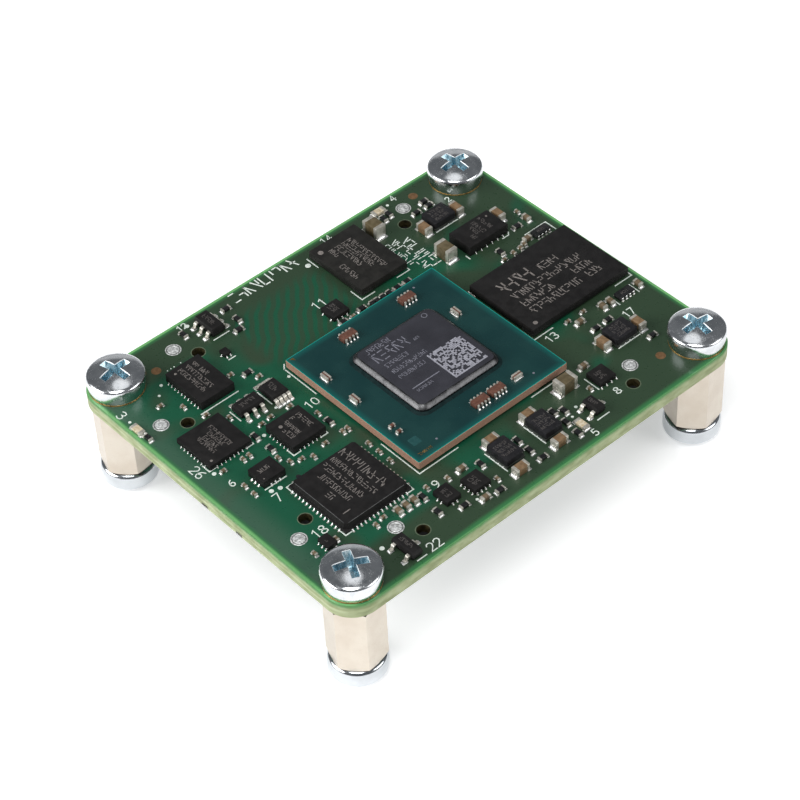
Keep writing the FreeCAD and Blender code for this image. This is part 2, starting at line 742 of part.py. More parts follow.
def make_leadless_chips(doc):
    """The larger leadless chips and their leads."""
    made = []
    for name, label in (("port", "port_chip"), ("clock", "clock_chip")):
        side = "Sizes.%s_side" % name
        made.append(make_package(doc, name, label, ON_BOARD, side, side))
        length = read(doc, name + "_side")
        made.append(lead_group(doc, name + "_leads", name, edge_leads(doc, name, length, length)))
    for name, label in (("timer", "timer_chip"), ("oscillator", "oscillator"), ("converter", "converter_chip")):
        made.append(make_package(doc, name, label, ON_BOARD))
    timer = (read(doc, "timer_length"), read(doc, "timer_width"))
    made.append(lead_group(doc, "timer_leads", "timer", edge_leads(doc, "timer", *timer, "we")))
    oscillator = (read(doc, "oscillator_length"), read(doc, "oscillator_width"))
    leads = edge_leads(doc, "oscillator", *oscillator, "ws")
    made.append(lead_group(doc, "oscillator_leads", "oscillator", leads))
    pins = read(doc, "converter_pins")
    pitch = read(doc, "converter_lead_pitch")
    converter = (read(doc, "converter_length"), read(doc, "converter_width"))
    leads = side_leads(doc, *converter, "s", pins, pitch)
    made.append(lead_group(doc, "converter_leads", "converter", leads))
    made.append(make_package(doc, "memory", "memory_chip", ON_CHIP_BALLS))
    made.append(make_package(doc, "flash", "flash_chip", ON_CHIP_BALLS))
    return made


def make_small_chips(doc):
    """Small leadless chips with leads on their near sides."""
    bodies = []
    leads = []
    for x, y, length, width, height, west, south in LEADLESS_CHIPS + from_screw(doc, 0, -1, SCREW_CHIPS):
        bodies.append(box(length, width, height, x, y))
        for side, (count, pitch) in (("w", west), ("s", south)):
            for lead in side_leads(doc, length, width, side, count, pitch):
                leads.append(put(lead, x, y))
    return [
        keep_group(doc, "small_chips", bodies, ON_BOARD),
        keep_group(doc, "small_chip_leads", leads, ON_BOARD),
    ]


def bent_leg(doc, seat):
    """Bent leg that leaves a body's side at x = 0 and ends in a foot on the board."""
    thick = read(doc, "leg_thickness")
    reach = read(doc, "leg_reach")
    ankle = read(doc, "leg_ankle")
    points = [
        (0, seat), (0, seat + thick), (ankle, thick), (reach, thick), (reach, 0), (ankle - thick / 2, 0),
        (0, seat),
    ]
    width = read(doc, "leg_width")
    outline = Part.makePolygon([Vector(x, -width / 2, z) for x, z in points])
    return Part.Face(outline).extrude(Vector(0, width, 0))


def make_legged_chips(doc):
    """Small chips with bent legs, each body moulded in two drafted halves."""
    bodies = []
    legs = []
    draft = read(doc, "legged_draft")
    lift = read(doc, "legged_lift")
    chips = LEGGED_CHIPS + from_screw(doc, -1, 0, SCREW_LEGGED_CHIPS)
    for x, y, turn, length, width, height, west, east, spacing in chips:
        half = (height - lift) / 2
        middle = (length, width)
        end = (length - draft, width - draft)
        lower = tapered(end, middle, half, lift)
        upper = tapered(middle, end, half, lift + half)
        bodies.append(put(lower.fuse(upper), x, y, turn))
        leg = bent_leg(doc, lift + half - read(doc, "leg_thickness") / 2)
        for count, side_turn in ((west, 180), (east, 0)):
            for along in spaced(count, spacing):
                placed = leg.copy()
                placed.translate(Vector(length / 2, along, 0))
                placed.rotate(Vector(0, 0, 0), Vector(0, 0, 1), side_turn)
                legs.append(put(placed, x, y, turn))
    return [
        keep_group(doc, "legged_chips", bodies, ON_BOARD),
        keep_group(doc, "bent_legs", legs, ON_BOARD),
    ]


def make_power_modules(doc):
    """Power modules: base plates, and moulded blocks with bevelled corners on them."""
    length = read(doc, "power_length")
    width = read(doc, "power_width")
    base = read(doc, "power_base_height")
    inset = read(doc, "power_block_inset")
    block = box(length - 2 * inset, width - 2 * inset, read(doc, "power_block_height"), 0, 0, base)
    upright = [edge for edge in block.Edges if abs(edge.tangentAt(edge.FirstParameter).z) > 0.999]
    block = block.makeChamfer(read(doc, "power_block_chamfer"), upright)
    bases = []
    blocks = []
    for x, y, turn in POWER_MODULES:
        bases.append(put(box(length, width, base), x, y, turn))
        blocks.append(put(block, x, y, turn))
    return [
        keep_group(doc, "power_module_bases", bases, ON_BOARD),
        keep_group(doc, "power_module_blocks", blocks, ON_BOARD),
    ]


# Two-ended parts


def two_ended(doc, kind):
    """Body and the two metal ends of a chip capacitor, resistor or lamp of one kind."""
    length = read(doc, kind + "_length")
    width = read(doc, kind + "_width")
    height = read(doc, kind + "_height")
    end = read(doc, kind + "_end")
    wrap = read(doc, "end_wrap")
    body = box(length - 2 * end, width - 2 * wrap, height - 2 * wrap, 0, 0, wrap)
    ends = [box(end, width, height, side * (length - end) / 2) for side in (-1, 1)]
    return body, ends


def make_two_ended(doc, kind, label, places, height=ON_BOARD):
    """Copy a two-ended part to its places: one object for the bodies, one for the metal ends."""
    body, ends = two_ended(doc, kind)
    bodies = []
    metal = []
    for x, y, turn in places:
        bodies.append(put(body, x, y, turn))
        for end in ends:
            metal.append(put(end, x, y, turn))
    return [
        keep_group(doc, label, bodies, height),
        keep_group(doc, label.rstrip("s") + "_ends", metal, height),
    ]


def make_plain(doc, kind, label, places, height):
    """Copy a part too small or too hidden for separate ends to its places."""
    sizes = [read(doc, kind + suffix) for suffix in ("_length", "_width", "_height")]
    return [keep_group(doc, label, [put(box(*sizes), *place) for place in places], height)]


def make_passives(doc):
    """All chip capacitors, resistors and lamps."""
    hanging = UNDER_BOARD + " - Sizes.medium_height"
    resistors = RESISTORS + from_screw(doc, 1, 0, SCREW_RESISTORS)
    small_capacitors = SMALL_CAPACITORS + from_screw(doc, 0, -1, SCREW_CAPACITORS)
    made = []
    made += make_two_ended(doc, "bulk", "bulk_capacitors", BULK_CAPACITORS)
    made += make_two_ended(doc, "large", "large_capacitors", LARGE_CAPACITORS)
    made += make_two_ended(doc, "medium", "medium_capacitors", MEDIUM_CAPACITORS)
    made += make_two_ended(doc, "lamp", "indicator_lamps", INDICATOR_LAMPS)
    made += make_two_ended(doc, "reverse", "reverse_capacitors", REVERSE_CAPACITORS, ON_SUBSTRATE)
    made += make_plain(doc, "medium", "under_capacitors", UNDER_CAPACITORS, hanging)
    made += make_plain(doc, "resistor", "chip_resistors", resistors, ON_BOARD)
    made += make_plain(doc, "small", "small_capacitors", small_capacitors, ON_BOARD)
    made += make_plain(doc, "small", "tiny_capacitors", TINY_CAPACITORS, ON_SUBSTRATE)
    return made


def make_resistor_networks(doc):
    """Resistor networks: a block with four legs on each long side."""
    length = read(doc, "network_row_length")
    width = read(doc, "network_row_width")
    height = read(doc, "network_row_height")
    reach = read(doc, "network_row_leg_reach")
    leg_width = read(doc, "network_row_leg_width")
    leg_height = read(doc, "network_row_leg_height")
    pitch = read(doc, "lead_pitch")
    bodies = []
    legs = []
    for x, y in NETWORK_ROWS:
        bodies.append(box(length, width, height, x, y))
        for step in (-1.5, -0.5, 0.5, 1.5):
            for side in (-1, 1):
                middle = y + side * (width + reach) / 2
                legs.append(box(leg_width, reach, leg_height, x + step * pitch, middle))
    return [
        keep_group(doc, "resistor_networks", bodies, ON_BOARD),
        keep_group(doc, "resistor_network_legs", legs, ON_BOARD),
    ]


# Connectors under the board


def connector_places(doc):
    """The three connectors: name, x, y, turn and pins in a row; +Y of a connector faces outwards."""
    long_pins = round(read(doc, "long_connector_pins"))
    side_pins = round(read(doc, "side_connector_pins"))
    return [
        ("back", 0.0, read(doc, "back_connector_y"), 0, long_pins, LONG_TAB, LONG_PEG),
        ("front", 0.0, read(doc, "front_connector_y"), 0, long_pins, LONG_TAB, LONG_PEG),
        ("side", read(doc, "side_connector_x"), 0.0, 90, side_pins, SIDE_TAB, SIDE_PEG),
    ]


def fixing_places(doc, kind):
    """Places and turns on the board of all the connectors' pegs or tabs."""
    places = []
    for name, x, y, turn, pins, tab, peg in connector_places(doc):
        along, across = tab if kind == "tab" else peg
        for sign in (-1, 1):
            spot = Rotation(Vector(0, 0, 1), turn).multVec(Vector(sign * along, across, 0))
            places.append((x + spot.x, y + spot.y, turn))
    return places


def connector_housing(doc, pins, peg):
    """Housing that hangs from z = 0: a base, a wall all round, a tongue inside and two pegs."""
    end = read(doc, "connector_end")
    width = read(doc, "connector_width")
    height = read(doc, "connector_height")
    base = read(doc, "connector_base")
    wall = read(doc, "connector_wall")
    span = pins * read(doc, "connector_pitch")
    outer = box(span + 2 * (end + wall), width, height, 0, 0, -height)
    cavity = box(span + 2 * end, width - 2 * wall, height - base, 0, 0, -height)
    drop = read(doc, "connector_tongue_drop")
    tongue = box(span + end, read(doc, "connector_tongue"), height - base - drop, 0, 0, drop - height)
    housing = outer.cut(cavity).fuse(tongue)
    depth = read(doc, "board_thickness") - read(doc, "peg_depth")
    along, across = peg
    for sign in (-1, 1):
        housing = housing.fuse(many_sided(PEG_SIDES, read(doc, "peg_radius"), depth, sign * along, across))
    return housing.removeSplitter()


def contact_rows(doc, pins):
    """The two rows of contacts on a connector's tongue, a strip for each."""
    tongue = read(doc, "connector_tongue")
    reach = read(doc, "contact_reach")
    depth = read(doc, "contact_depth")
    length = pins * read(doc, "connector_pitch")
    level = -read(doc, "connector_base") - depth
    return [box(length, reach, depth, 0, side * (tongue + reach) / 2, level) for side in (-1, 1)]


def make_connectors(doc):
    """The three board-to-board connectors, their contacts and their tabs in the board's slots."""
    made = []
    contacts = []
    for name, x, y, turn, pins, tab, peg in connector_places(doc):
        housing = connector_housing(doc, pins, peg)
        made.append(keep_group(doc, name + "_connector", [put(housing, x, y, turn)], UNDER_BOARD))
        for row in contact_rows(doc, pins):
            contacts.append(put(row, x, y, turn))
    height = read(doc, "board_thickness") + read(doc, "tab_rise")
    strip = box(read(doc, "tab_width"), read(doc, "tab_thickness"), height)
    tabs = [put(strip, *place) for place in fixing_places(doc, "tab")]
    made.append(keep_group(doc, "connector_contacts", contacts, UNDER_BOARD))
    made.append(keep_group(doc, "connector_tabs", tabs, UNDER_BOARD))
    return made


# Checking and writing


def check(doc, parts):
    """Stop if an object failed, or if a sub-part has no sound shape."""
    for item in doc.Objects:
        if "Invalid" in item.State or "Error" in item.State:
            raise ValueError("%s is in error: %s" % (item.Label, item.State))
    for part in parts:
        if part.Shape.isNull() or not part.Shape.isValid():
            raise ValueError("%s has no valid shape" % part.Label)


def main():
    """Build the document and write each sub-part's solids to its own file."""
    doc = FreeCAD.newDocument("SystemOnModule")
    make_sheet(doc)
    parts = [make_board(doc)]
    for make in (make_screws, make_standoffs, make_processor, make_ball_fields, make_arrays, make_network_chip,
                 make_leadless_chips, make_small_chips, make_legged_chips, make_power_modules,
                 make_passives, make_resistor_networks, make_connectors):
        parts += make(doc)
    doc.recompute()
    check(doc, parts)
    os.makedirs("parts", exist_ok=True)
    for part in parts:
        part.Shape.exportStep(os.path.join("parts", part.Label + ".step"))
        print("%-28s %3d solids  %9.3f mm3" % (part.Label, len(part.Shape.Solids), part.Shape.Volume))


main()
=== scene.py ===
"""Looks of a system on module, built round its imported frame.

Sizes are in millimetres until a mesh is made. The origin is the middle of the board's outline at
the height of the feet's ends, X runs along the board's long side and Z up.
"""

from __future__ import annotations

import logging
import math
import random
from collections.abc import Iterable, Sequence
from dataclasses import dataclass
from enum import Enum
from functools import cache

import bmesh
import bpy
from mathutils import Matrix, Vector

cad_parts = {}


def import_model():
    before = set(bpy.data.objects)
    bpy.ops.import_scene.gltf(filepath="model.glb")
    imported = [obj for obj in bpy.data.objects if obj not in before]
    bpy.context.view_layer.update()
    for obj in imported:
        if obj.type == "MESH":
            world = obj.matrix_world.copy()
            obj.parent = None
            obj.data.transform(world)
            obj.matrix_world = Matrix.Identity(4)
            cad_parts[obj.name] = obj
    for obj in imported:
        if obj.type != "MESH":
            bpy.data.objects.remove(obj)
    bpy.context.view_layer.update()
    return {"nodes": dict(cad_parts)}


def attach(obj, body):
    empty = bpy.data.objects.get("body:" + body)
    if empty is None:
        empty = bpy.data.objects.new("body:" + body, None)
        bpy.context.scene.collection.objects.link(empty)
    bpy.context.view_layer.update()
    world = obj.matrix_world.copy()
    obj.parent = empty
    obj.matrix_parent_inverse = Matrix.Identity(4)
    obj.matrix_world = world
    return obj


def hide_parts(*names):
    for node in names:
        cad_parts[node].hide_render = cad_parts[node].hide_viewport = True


LOG = logging.getLogger("module")

MM = 0.001
BOARD_LENGTH = 50.0
BOARD_WIDTH = 40.0
BOARD_RADIUS = 3.0
BOARD_UNDER = 10.4
BOARD_TOP = 12.0
SUBSTRATE_TOP = 13.2
SUNK = 0.004  # how deep a mark or a pad starts below the surface that it lies on
MARK_SUNK = 0.003  # the same for a laser mark
MARK_RISE = 0.004  # how far a mark on the processor stands up
SCREW_PLACES = ((-22, -17), (22, -17), (22, 17), (-22, 17))
PEGS = ((13.45, 15.3), (-13.45, 15.3), (13.45, -16.9), (-13.45, -16.9), (-20.2, 8.5), (-20.2, -8.5))
THIN_PAD = ((0, -SUNK), (0, 0.012), (0.02, 0.02))
UPSIDE_DOWN = Matrix.Rotation(math.pi, 4, "X")

Colour = tuple[float, float, float]
Point = tuple[float, float]
Settings = dict[str, object]
Pair = tuple[Vector, Vector]
Ring = list[bmesh.types.BMVert]


# Shader maths


class Signal:
    """A shader socket that takes part in Python arithmetic."""

    def __init__(self, graph: Graph, socket: bpy.types.NodeSocket) -> None:
        """Keep the socket and the graph that it belongs to."""
        self.graph = graph
        self.socket = socket

    def __add__(self, other: Signal | float) -> Signal:
        """Add."""
        return self.graph.maths("ADD", self, other)

    __radd__ = __add__

    def __sub__(self, other: Signal | float) -> Signal:
        """Subtract."""
        return self.graph.maths("SUBTRACT", self, other)

    def __rsub__(self, other: float) -> Signal:
        """Subtract this from a number."""
        return self.graph.maths("SUBTRACT", other, self)

    def __mul__(self, other: Signal | float) -> Signal:
        """Multiply."""
        return self.graph.maths("MULTIPLY", self, other)

    __rmul__ = __mul__

    def __abs__(self) -> Signal:
        """Drop the sign."""
        return self.graph.maths("ABSOLUTE", self)

    def root(self) -> Signal:
        """Take the square root."""
        return self.graph.maths("SQRT", self)

    def sine(self) -> Signal:
        """Take the sine."""
        return self.graph.maths("SINE", self)

    def at_least(self, other: Signal | float) -> Signal:
        """Keep the larger of the two."""
        return self.graph.maths("MAXIMUM", self, other)

    def at_most(self, other: Signal | float) -> Signal:
        """Keep the smaller of the two."""
        return self.graph.maths("MINIMUM", self, other)

    def step(self, low: float, high: float) -> Signal:
        """Rise smoothly from 0 to 1.

        Args:
            low: where it is 0.
            high: where it is 1, which may be the smaller number.

        Returns:
            The risen signal.
        """
        if high < low:
            return 1 - self.step(high, low)
        settings = {"interpolation_type": "SMOOTHSTEP", "clamp": True}
        return self.graph.node("ShaderNodeMapRange", settings, {0: self, 1: low, 2: high})


class Graph:
    """The nodes of one material."""

    def __init__(self, name: str) -> None:
        """Start a material with its Principled shader.

        Args:
            name: the material's name.
        """
        self.material = bpy.data.materials.new(name)
        self.material.use_nodes = True
        self.tree = self.material.node_tree
        self.shader = self.tree.nodes["Principled BSDF"]

    def node(self, kind: str, settings: Settings, inputs: dict[int | str, object], out: int = 0) -> Signal:
        """Add a node.

        Args:
            kind: the node's type.
            settings: its properties, which are set before its sockets.
            inputs: the value or link of each named or numbered socket.
            out: which output to return.

        Returns:
            The chosen output.
        """
        made = self.tree.nodes.new(kind)
        for name, value in settings.items():
            setattr(made, name, value)
        for name, value in inputs.items():
            self.join(value, made.inputs[name])
        return Signal(self, made.outputs[out])

    def join(self, value: object, socket: bpy.types.NodeSocket) -> None:
        """Link a signal to a socket, or set the socket's own value.

        Args:
            value: the signal, number or colour.
            socket: the socket that takes it.
        """
        if isinstance(value, Signal):
            self.tree.links.new(value.socket, socket)
        elif socket.type == "RGBA":
            socket.default_value = (*value, 1.0)
        else:
            socket.default_value = value

    def maths(self, operation: str, *values: Signal | float) -> Signal:
        """Add a Math node for one operation."""
        return self.node("ShaderNodeMath", {"operation": operation}, dict(enumerate(values)))

    def mix(self, share: Signal | float, first: Signal | Colour, second: Signal | Colour) -> Signal:
        """Blend two colours; share is how much of the second shows."""
        return self.node("ShaderNodeMix", {"data_type": "RGBA"}, {0: share, 6: first, 7: second}, 2)

    def place(self) -> Signal:
        """Return the point on the piece, in millimetres."""
        found = self.node("ShaderNodeTexCoord", {}, {}, 3)
        return self.node("ShaderNodeVectorMath", {"operation": "SCALE"}, {0: found, "Scale": 1 / MM})

    def axes(self) -> tuple[Signal, Signal, Signal]:
        """Take the point on the piece apart.

        Returns:
            Its X, Y and Z, in millimetres.
        """
        parts = self.node("ShaderNodeSeparateXYZ", {}, {0: self.place()})
        outputs = parts.socket.node.outputs
        return parts, Signal(self, outputs[1]), Signal(self, outputs[2])

    def noise(self, size: float, detail: float = 3.0, stretch: Sequence[float] = (1, 1, 1)) -> Signal:
        """Return a cloudy pattern from 0 to 1.

        Args:
            size: the width of its patches in millimetres.
            detail: how many finer layers it has.
            stretch: how much finer it is along each axis.

        Returns:
            The pattern.
        """
        vector = self.node("ShaderNodeVectorMath", {"operation": "MULTIPLY"}, {0: self.place(), 1: stretch})
        return self.node("ShaderNodeTexNoise", {}, {"Vector": vector, "Scale": 1 / size, "Detail": detail})

    def specks(self, size: float) -> Signal:
        """Return the distance from scattered points, in cells of a size in millimetres."""
        return self.node("ShaderNodeTexVoronoi", {}, {"Vector": self.place(), "Scale": 1 / size})

    def from_edge(self, length: float, width: float, radius: float, x: float = 0, y: float = 0) -> Signal:
        """Return the distance inwards from a rounded rectangle's outline, in millimetres.

        Args:
            length: its size along X.
            width: its size along Y.
            radius: the radius of its corners.
            x: the X of its middle.
            y: the Y of its middle.

        Returns:
            The distance.
        """
        across, along, _ = self.axes()
        inner_x = length / 2 - abs(across - x)
        inner_y = width / 2 - abs(along - y)
        if not radius:
            return inner_x.at_most(inner_y)
        dx = (radius - inner_x).at_least(0)
        dy = (radius - inner_y).at_least(0)
        return (radius - (dx * dx + dy * dy).root()).at_most(inner_x).at_most(inner_y)


# Finishes


@dataclass(frozen=True)
class Finish:
    """A finish of two tones in patches, with its gloss and fine relief.

    Attributes:
        name: the material's name.
        dark: the darker tone.
        light: the lighter tone.
        patch: the width of the patches in millimetres.
        rough: the roughness.
        rough_spread: how far the roughness strays from that.
        metal: how metallic it is.
        coat: the weight of its clear coat.
        grain: the height of its relief in millimetres.
        grain_size: the width of the relief's grains in millimetres.
        shine: the level of its mirror light.
        glow: how strongly it shines by itself.
    """

    name: str
    dark: Colour
    light: Colour
    patch: float = 1.0
    rough: float = 0.5
    rough_spread: float = 0.1
    metal: float = 0.0
    coat: float = 0.0
    grain: float = 0.0
    grain_size: float = 0.1
    shine: float = 0.5
    glow: float = 0.0

    def colour(self, graph: Graph) -> Signal:
        """Return the colour pattern."""
        return graph.mix(graph.noise(self.patch).step(0.3, 0.7), self.dark, self.light)

    def gloss(self, graph: Graph) -> Signal:
        """Return the roughness pattern."""
        low = self.rough - self.rough_spread
        return graph.noise(self.patch / 2).step(0.3, 0.7) * (2 * self.rough_spread) + low

    def relief(self, graph: Graph) -> Signal | None:
        """Return the height pattern from 0 to 1, or None for a smooth finish."""
        return graph.noise(self.grain_size, 2.0) if self.grain else None

    @cache
    def material(self) -> bpy.types.Material:
        """Make the material at its first use.

        Returns:
            The material.
        """
        graph = Graph(self.name)
        values = {"Base Color": self.colour(graph), "Roughness": self.gloss(graph), "Metallic": self.metal,
                  "Coat Weight": self.coat, "Specular IOR Level": self.shine, "Emission Color": self.light,
                  "Emission Strength": self.glow}
        height = self.relief(graph)
        if height:
            inputs = {"Height": height, "Distance": self.grain * MM, "Strength": 1.0}
            values["Normal"] = graph.node("ShaderNodeBump", {}, inputs)
        for name, value in values.items():
            graph.join(value, graph.shader.inputs[name])
        return graph.material


@dataclass(frozen=True)
class MaskFinish(Finish):
    """Green solder mask over copper and bare laminate, with a clear border round the board; the brighter line
    along the board's edges is a painted highlight and the greyer left end is painted glare.
    """

    border: Colour = (0.038, 0.165, 0.058)
    # painted light: a highlight along the board's edges, and glare that greys the board's left end
    glare: Colour = (0.16, 0.41, 0.15)
    left_glare: Colour = (0.1, 0.14, 0.105)
    heading: Point = (0.65, 0.76)
    tracks: float = 6.6
    track_copper: float = 0.62

    def stripes(self, graph: Graph) -> tuple[Signal, Signal]:
        """Draw the winding tracks beside the flash chip.

        Args:
            graph: the material's nodes.

        Returns:
            The tracks, and where they run.
        """
        x, y, _ = graph.axes()
        run, rise = self.heading
        along = x * run + y * rise
        across = x * rise - y * run + (along * 2.6).sine() * 0.06 + (along * 1.1).sine() * 0.12
        wave = (across * self.tracks).sine().step(-0.7, 0.4)
        inside = x.step(-9.8, -8.0) * x.step(3.2, 1.2) * y.step(7.4, 9.4) * y.step(17.4, 15.4)
        return wave, inside

    def copper(self, graph: Graph) -> Signal:
        """Draw the copper under the mask.

        Args:
            graph: the material's nodes.

        Returns:
            How much copper shows, from 0 to 1.
        """
        x, y, _ = graph.axes()
        pour = (graph.noise(6.0, 1.0) + x * 0.006 + abs(y + 2) * 0.004).step(0.42, 0.62)
        pour = pour.at_least(abs(y).step(14.2, 15.8))
        wave, inside = self.stripes(graph)
        return pour * (1 - inside) * 0.92 + (wave * self.track_copper + 0.06) * inside

    def colour(self, graph: Graph) -> Signal:
        """Colour the mask over copper, laminate and the border, with a painted highlight along the edges and
        painted glare at the left end.

        Args:
            graph: the material's nodes.

        Returns:
            The colour.
        """
        x, y, _ = graph.axes()
        base = graph.mix(self.copper(graph), self.dark, self.light)
        # painted glare: the colour turns greyer towards the board's left end
        base = graph.mix(x.step(-21.0, -24.0) * 0.36, base, self.left_glare)
        back = (x * 0.04 + y * 0.05).step(-0.2, 0.3)
        edge = graph.from_edge(BOARD_LENGTH, BOARD_WIDTH, BOARD_RADIUS)
        soft = graph.mix((edge + graph.noise(2.0) * 0.1).step(0.85, 0.3), base, self.border)
        # painted highlight: a light line along the board's edges, wider at the back edges and at the left
        # end, narrower at the front
        left = x.step(-23.0, -24.0)
        bright = edge.step(0.36, 0.26) * back + edge.step(0.22, 0.02) * (1 - back) * 0.7
        bright = bright.at_least(edge.step(0.45, 0.15) * left)
        return graph.mix(bright, soft, self.glare)

    def relief(self, graph: Graph) -> Signal:
        """Return the soft step of the tracks' edges and the mask's own ripple."""
        wave, inside = self.stripes(graph)
        return wave * inside * 0.5 + graph.noise(1.2, 1.0) * 0.5


@dataclass(frozen=True)
class LaminateFinish(Finish):
    """The board's cut side: pressed glass layers between the masks, torn where the panel was parted."""

    edge_tone: Colour = (0.07, 0.22, 0.06)
    torn_tone: Colour = (0.02, 0.02, 0.012)
    torn: tuple[float, float] = (0.2, -4.75)

    def colour(self, graph: Graph) -> Signal:
        """Colour the glass layers, greener towards the top.

        Args:
            graph: the material's nodes.

        Returns:
            The colour.
        """
        x, y, z = graph.axes()
        layers = ((z - BOARD_UNDER) * 11.0).sine().step(-0.6, 0.9) * x.step(-24.0, -24.9)
        glass = graph.noise(1.8, 2.0, (1, 1, 3)).step(0.3, 0.7) * 0.7 + layers * 0.45
        body = graph.mix(glass, self.dark, self.light)
        tint = (z + graph.noise(0.8) * 0.16).step(BOARD_TOP - 0.5, BOARD_TOP + 0.05)
        found = graph.mix(tint, body, self.edge_tone)
        low = z.step(BOARD_UNDER + 0.45, BOARD_UNDER + 0.3) * x.step(-24.8, -24.95)
        for middle in self.torn:
            found = graph.mix(abs(y - middle).step(0.5, 0.36) * low * 0.95, found, self.torn_tone)
        return found


@dataclass(frozen=True)
class SubstrateFinish(Finish):
    """The processor's teal mask with a painted highlight round its rim."""

    # painted highlight: the colour of the bright band along the substrate's rim
    rim: Colour = (0.0, 0.24, 0.2)
    side: float = 19.0
    x: float = 0.6
    y: float = -1.92

    def colour(self, graph: Graph) -> Signal:
        """Colour the mask, with a painted highlight along its rim.

        Args:
            graph: the material's nodes.

        Returns:
            The colour.
        """
        base = Finish.colour(self, graph)
        # painted highlight: a soft glow within about 0.9 mm of the rim, and a bright band right at it
        edge = graph.from_edge(self.side, self.side, 0, self.x, self.y) + graph.noise(0.5) * 0.04
        soft = graph.mix(edge.step(0.9, 0.1) * 0.22, base, self.rim)
        return graph.mix(edge.step(0.17, 0.1), soft, self.rim)


@dataclass(frozen=True)
class LayerFinish(Finish):
    """A cut side of thin layers."""

    pitch: float = 0.1

    def colour(self, graph: Graph) -> Signal:
        """Colour the layers, uneven along the cut.

        Args:
            graph: the material's nodes.

        Returns:
            The colour.
        """
        _, _, z = graph.axes()
        layers = (z * (2 * math.pi / self.pitch)).sine().step(-0.6, 0.6)
        return graph.mix(layers * 0.6 + graph.noise(self.patch) * 0.4, self.dark, self.light)


@dataclass(frozen=True)
class StreakedFinish(Finish):
    """Metal with upright light and dark streaks, which are painted reflection."""

    def colour(self, graph: Graph) -> Signal:
        """Return the streaks of painted reflection."""
        return graph.mix(graph.noise(self.patch, 1.0, (1, 1, 0.1)).step(0.35, 0.65), self.dark, self.light)


@dataclass(frozen=True)
class PlatedFinish(Finish):
    """Bright plated steel with fine scratches and dull specks."""

    def gloss(self, graph: Graph) -> Signal:
        """Return the gloss, duller in specks and patches."""
        specks = graph.specks(0.22).step(0.5, 0.15) * graph.noise(0.7).step(0.4, 0.6)
        return graph.noise(self.patch).step(0.3, 0.7) * self.rough_spread + specks * 0.16 + self.rough


MASK = MaskFinish("solder_mask", (0.0085, 0.083, 0.042), (0.032, 0.055, 0.03), rough=0.3, rough_spread=0.03,
                  coat=0.1, grain=0.006, shine=0.35)
LAMINATE = LaminateFinish("board_laminate", (0.215, 0.255, 0.11), (0.405, 0.455, 0.26), rough=0.6, grain=0.02)
# painted shade: the holes' walls are laminate, coloured near black
SHADED_HOLE_WALL = Finish("shaded_hole_wall", (0.012, 0.01, 0.004), (0.05, 0.04, 0.015), 0.4, rough=0.6, grain=0.01,
                   shine=0.2)
HOLE_RIM = Finish("hole_rim", (0.07, 0.1, 0.06), (0.125, 0.16, 0.1), 0.3, rough=0.5, grain=0.01)
INK = Finish("white_ink", (0.6, 0.68, 0.62), (0.82, 0.86, 0.8), 0.4, rough=0.6, grain=0.006, grain_size=0.06)
LASER = Finish("laser_mark", (0.13, 0.115, 0.105), (0.24, 0.215, 0.2), 0.25, rough=0.7, grain=0.006)
LASER_DIM = Finish("faint_laser_mark", (0.06, 0.053, 0.05), (0.1, 0.09, 0.085), 0.25, rough=0.7, grain=0.006)
LID_MARK = Finish("lid_mark", (0.13, 0.13, 0.16), (0.22, 0.22, 0.26), 0.3, rough=0.6, grain=0.004)
CODE_MARK = Finish("code_mark", (0.26, 0.26, 0.3), (0.38, 0.38, 0.43), 0.3, rough=0.6, grain=0.004)
PATCH = Finish("patch_mark", (0.008, 0.058, 0.058), (0.014, 0.075, 0.074), 0.3, rough=0.4, grain=0.004)
SOLDER = PlatedFinish("bright_solder", (0.64, 0.64, 0.625), (0.86, 0.86, 0.845), 0.3, rough=0.26,
                      rough_spread=0.12, metal=0.9, grain=0.012, grain_size=0.25)
TAB_SOLDER = PlatedFinish("tab_solder", (0.38, 0.39, 0.38), (0.88, 0.89, 0.88), 0.22, rough=0.32,
                          rough_spread=0.12, metal=0.45, grain=0.05, grain_size=0.3)
# painted shade: the groove in each tab's solder is the same solder, coloured dark
SHADED_SOLDER_GROOVE = Finish("shaded_solder_groove", (0.07, 0.075, 0.07), (0.16, 0.165, 0.155), 0.3, rough=0.5, metal=0.3)
TIN = PlatedFinish("tinned_end", (0.56, 0.53, 0.46), (0.76, 0.73, 0.65), 0.4, rough=0.34, rough_spread=0.1,
                   metal=0.7, grain=0.006, grain_size=0.12)
GOLD = Finish("gold_pad", (0.42, 0.27, 0.085), (0.6, 0.4, 0.15), 0.5, rough=0.4, metal=1.0)
BARE_COPPER = Finish("bare_copper", (0.19, 0.105, 0.045), (0.28, 0.155, 0.075), 0.3, rough=0.45, metal=0.5,
                     grain=0.01)
SCREW_STEEL = PlatedFinish("zinc_plated_steel", (0.625, 0.645, 0.67), (0.775, 0.79, 0.81), 0.9, rough=0.13,
                           rough_spread=0.08, metal=1.0, grain=0.0014, grain_size=0.14)
FOOT_STEEL = Finish("smooth_plated_steel", (0.52, 0.545, 0.57), (0.64, 0.665, 0.69), 3.0, rough=0.16,
                    rough_spread=0.04, metal=1.0, grain=0.0008, grain_size=0.4)
# painted shade and reflection: the recess is darker and bluer than the head, with light and dark streaks
SHADED_RECESS_STEEL = StreakedFinish("shaded_recess_steel", (0.2, 0.36, 0.44), (0.6, 0.76, 0.82), 0.3, rough=0.3,
                              rough_spread=0.05, metal=0.8)
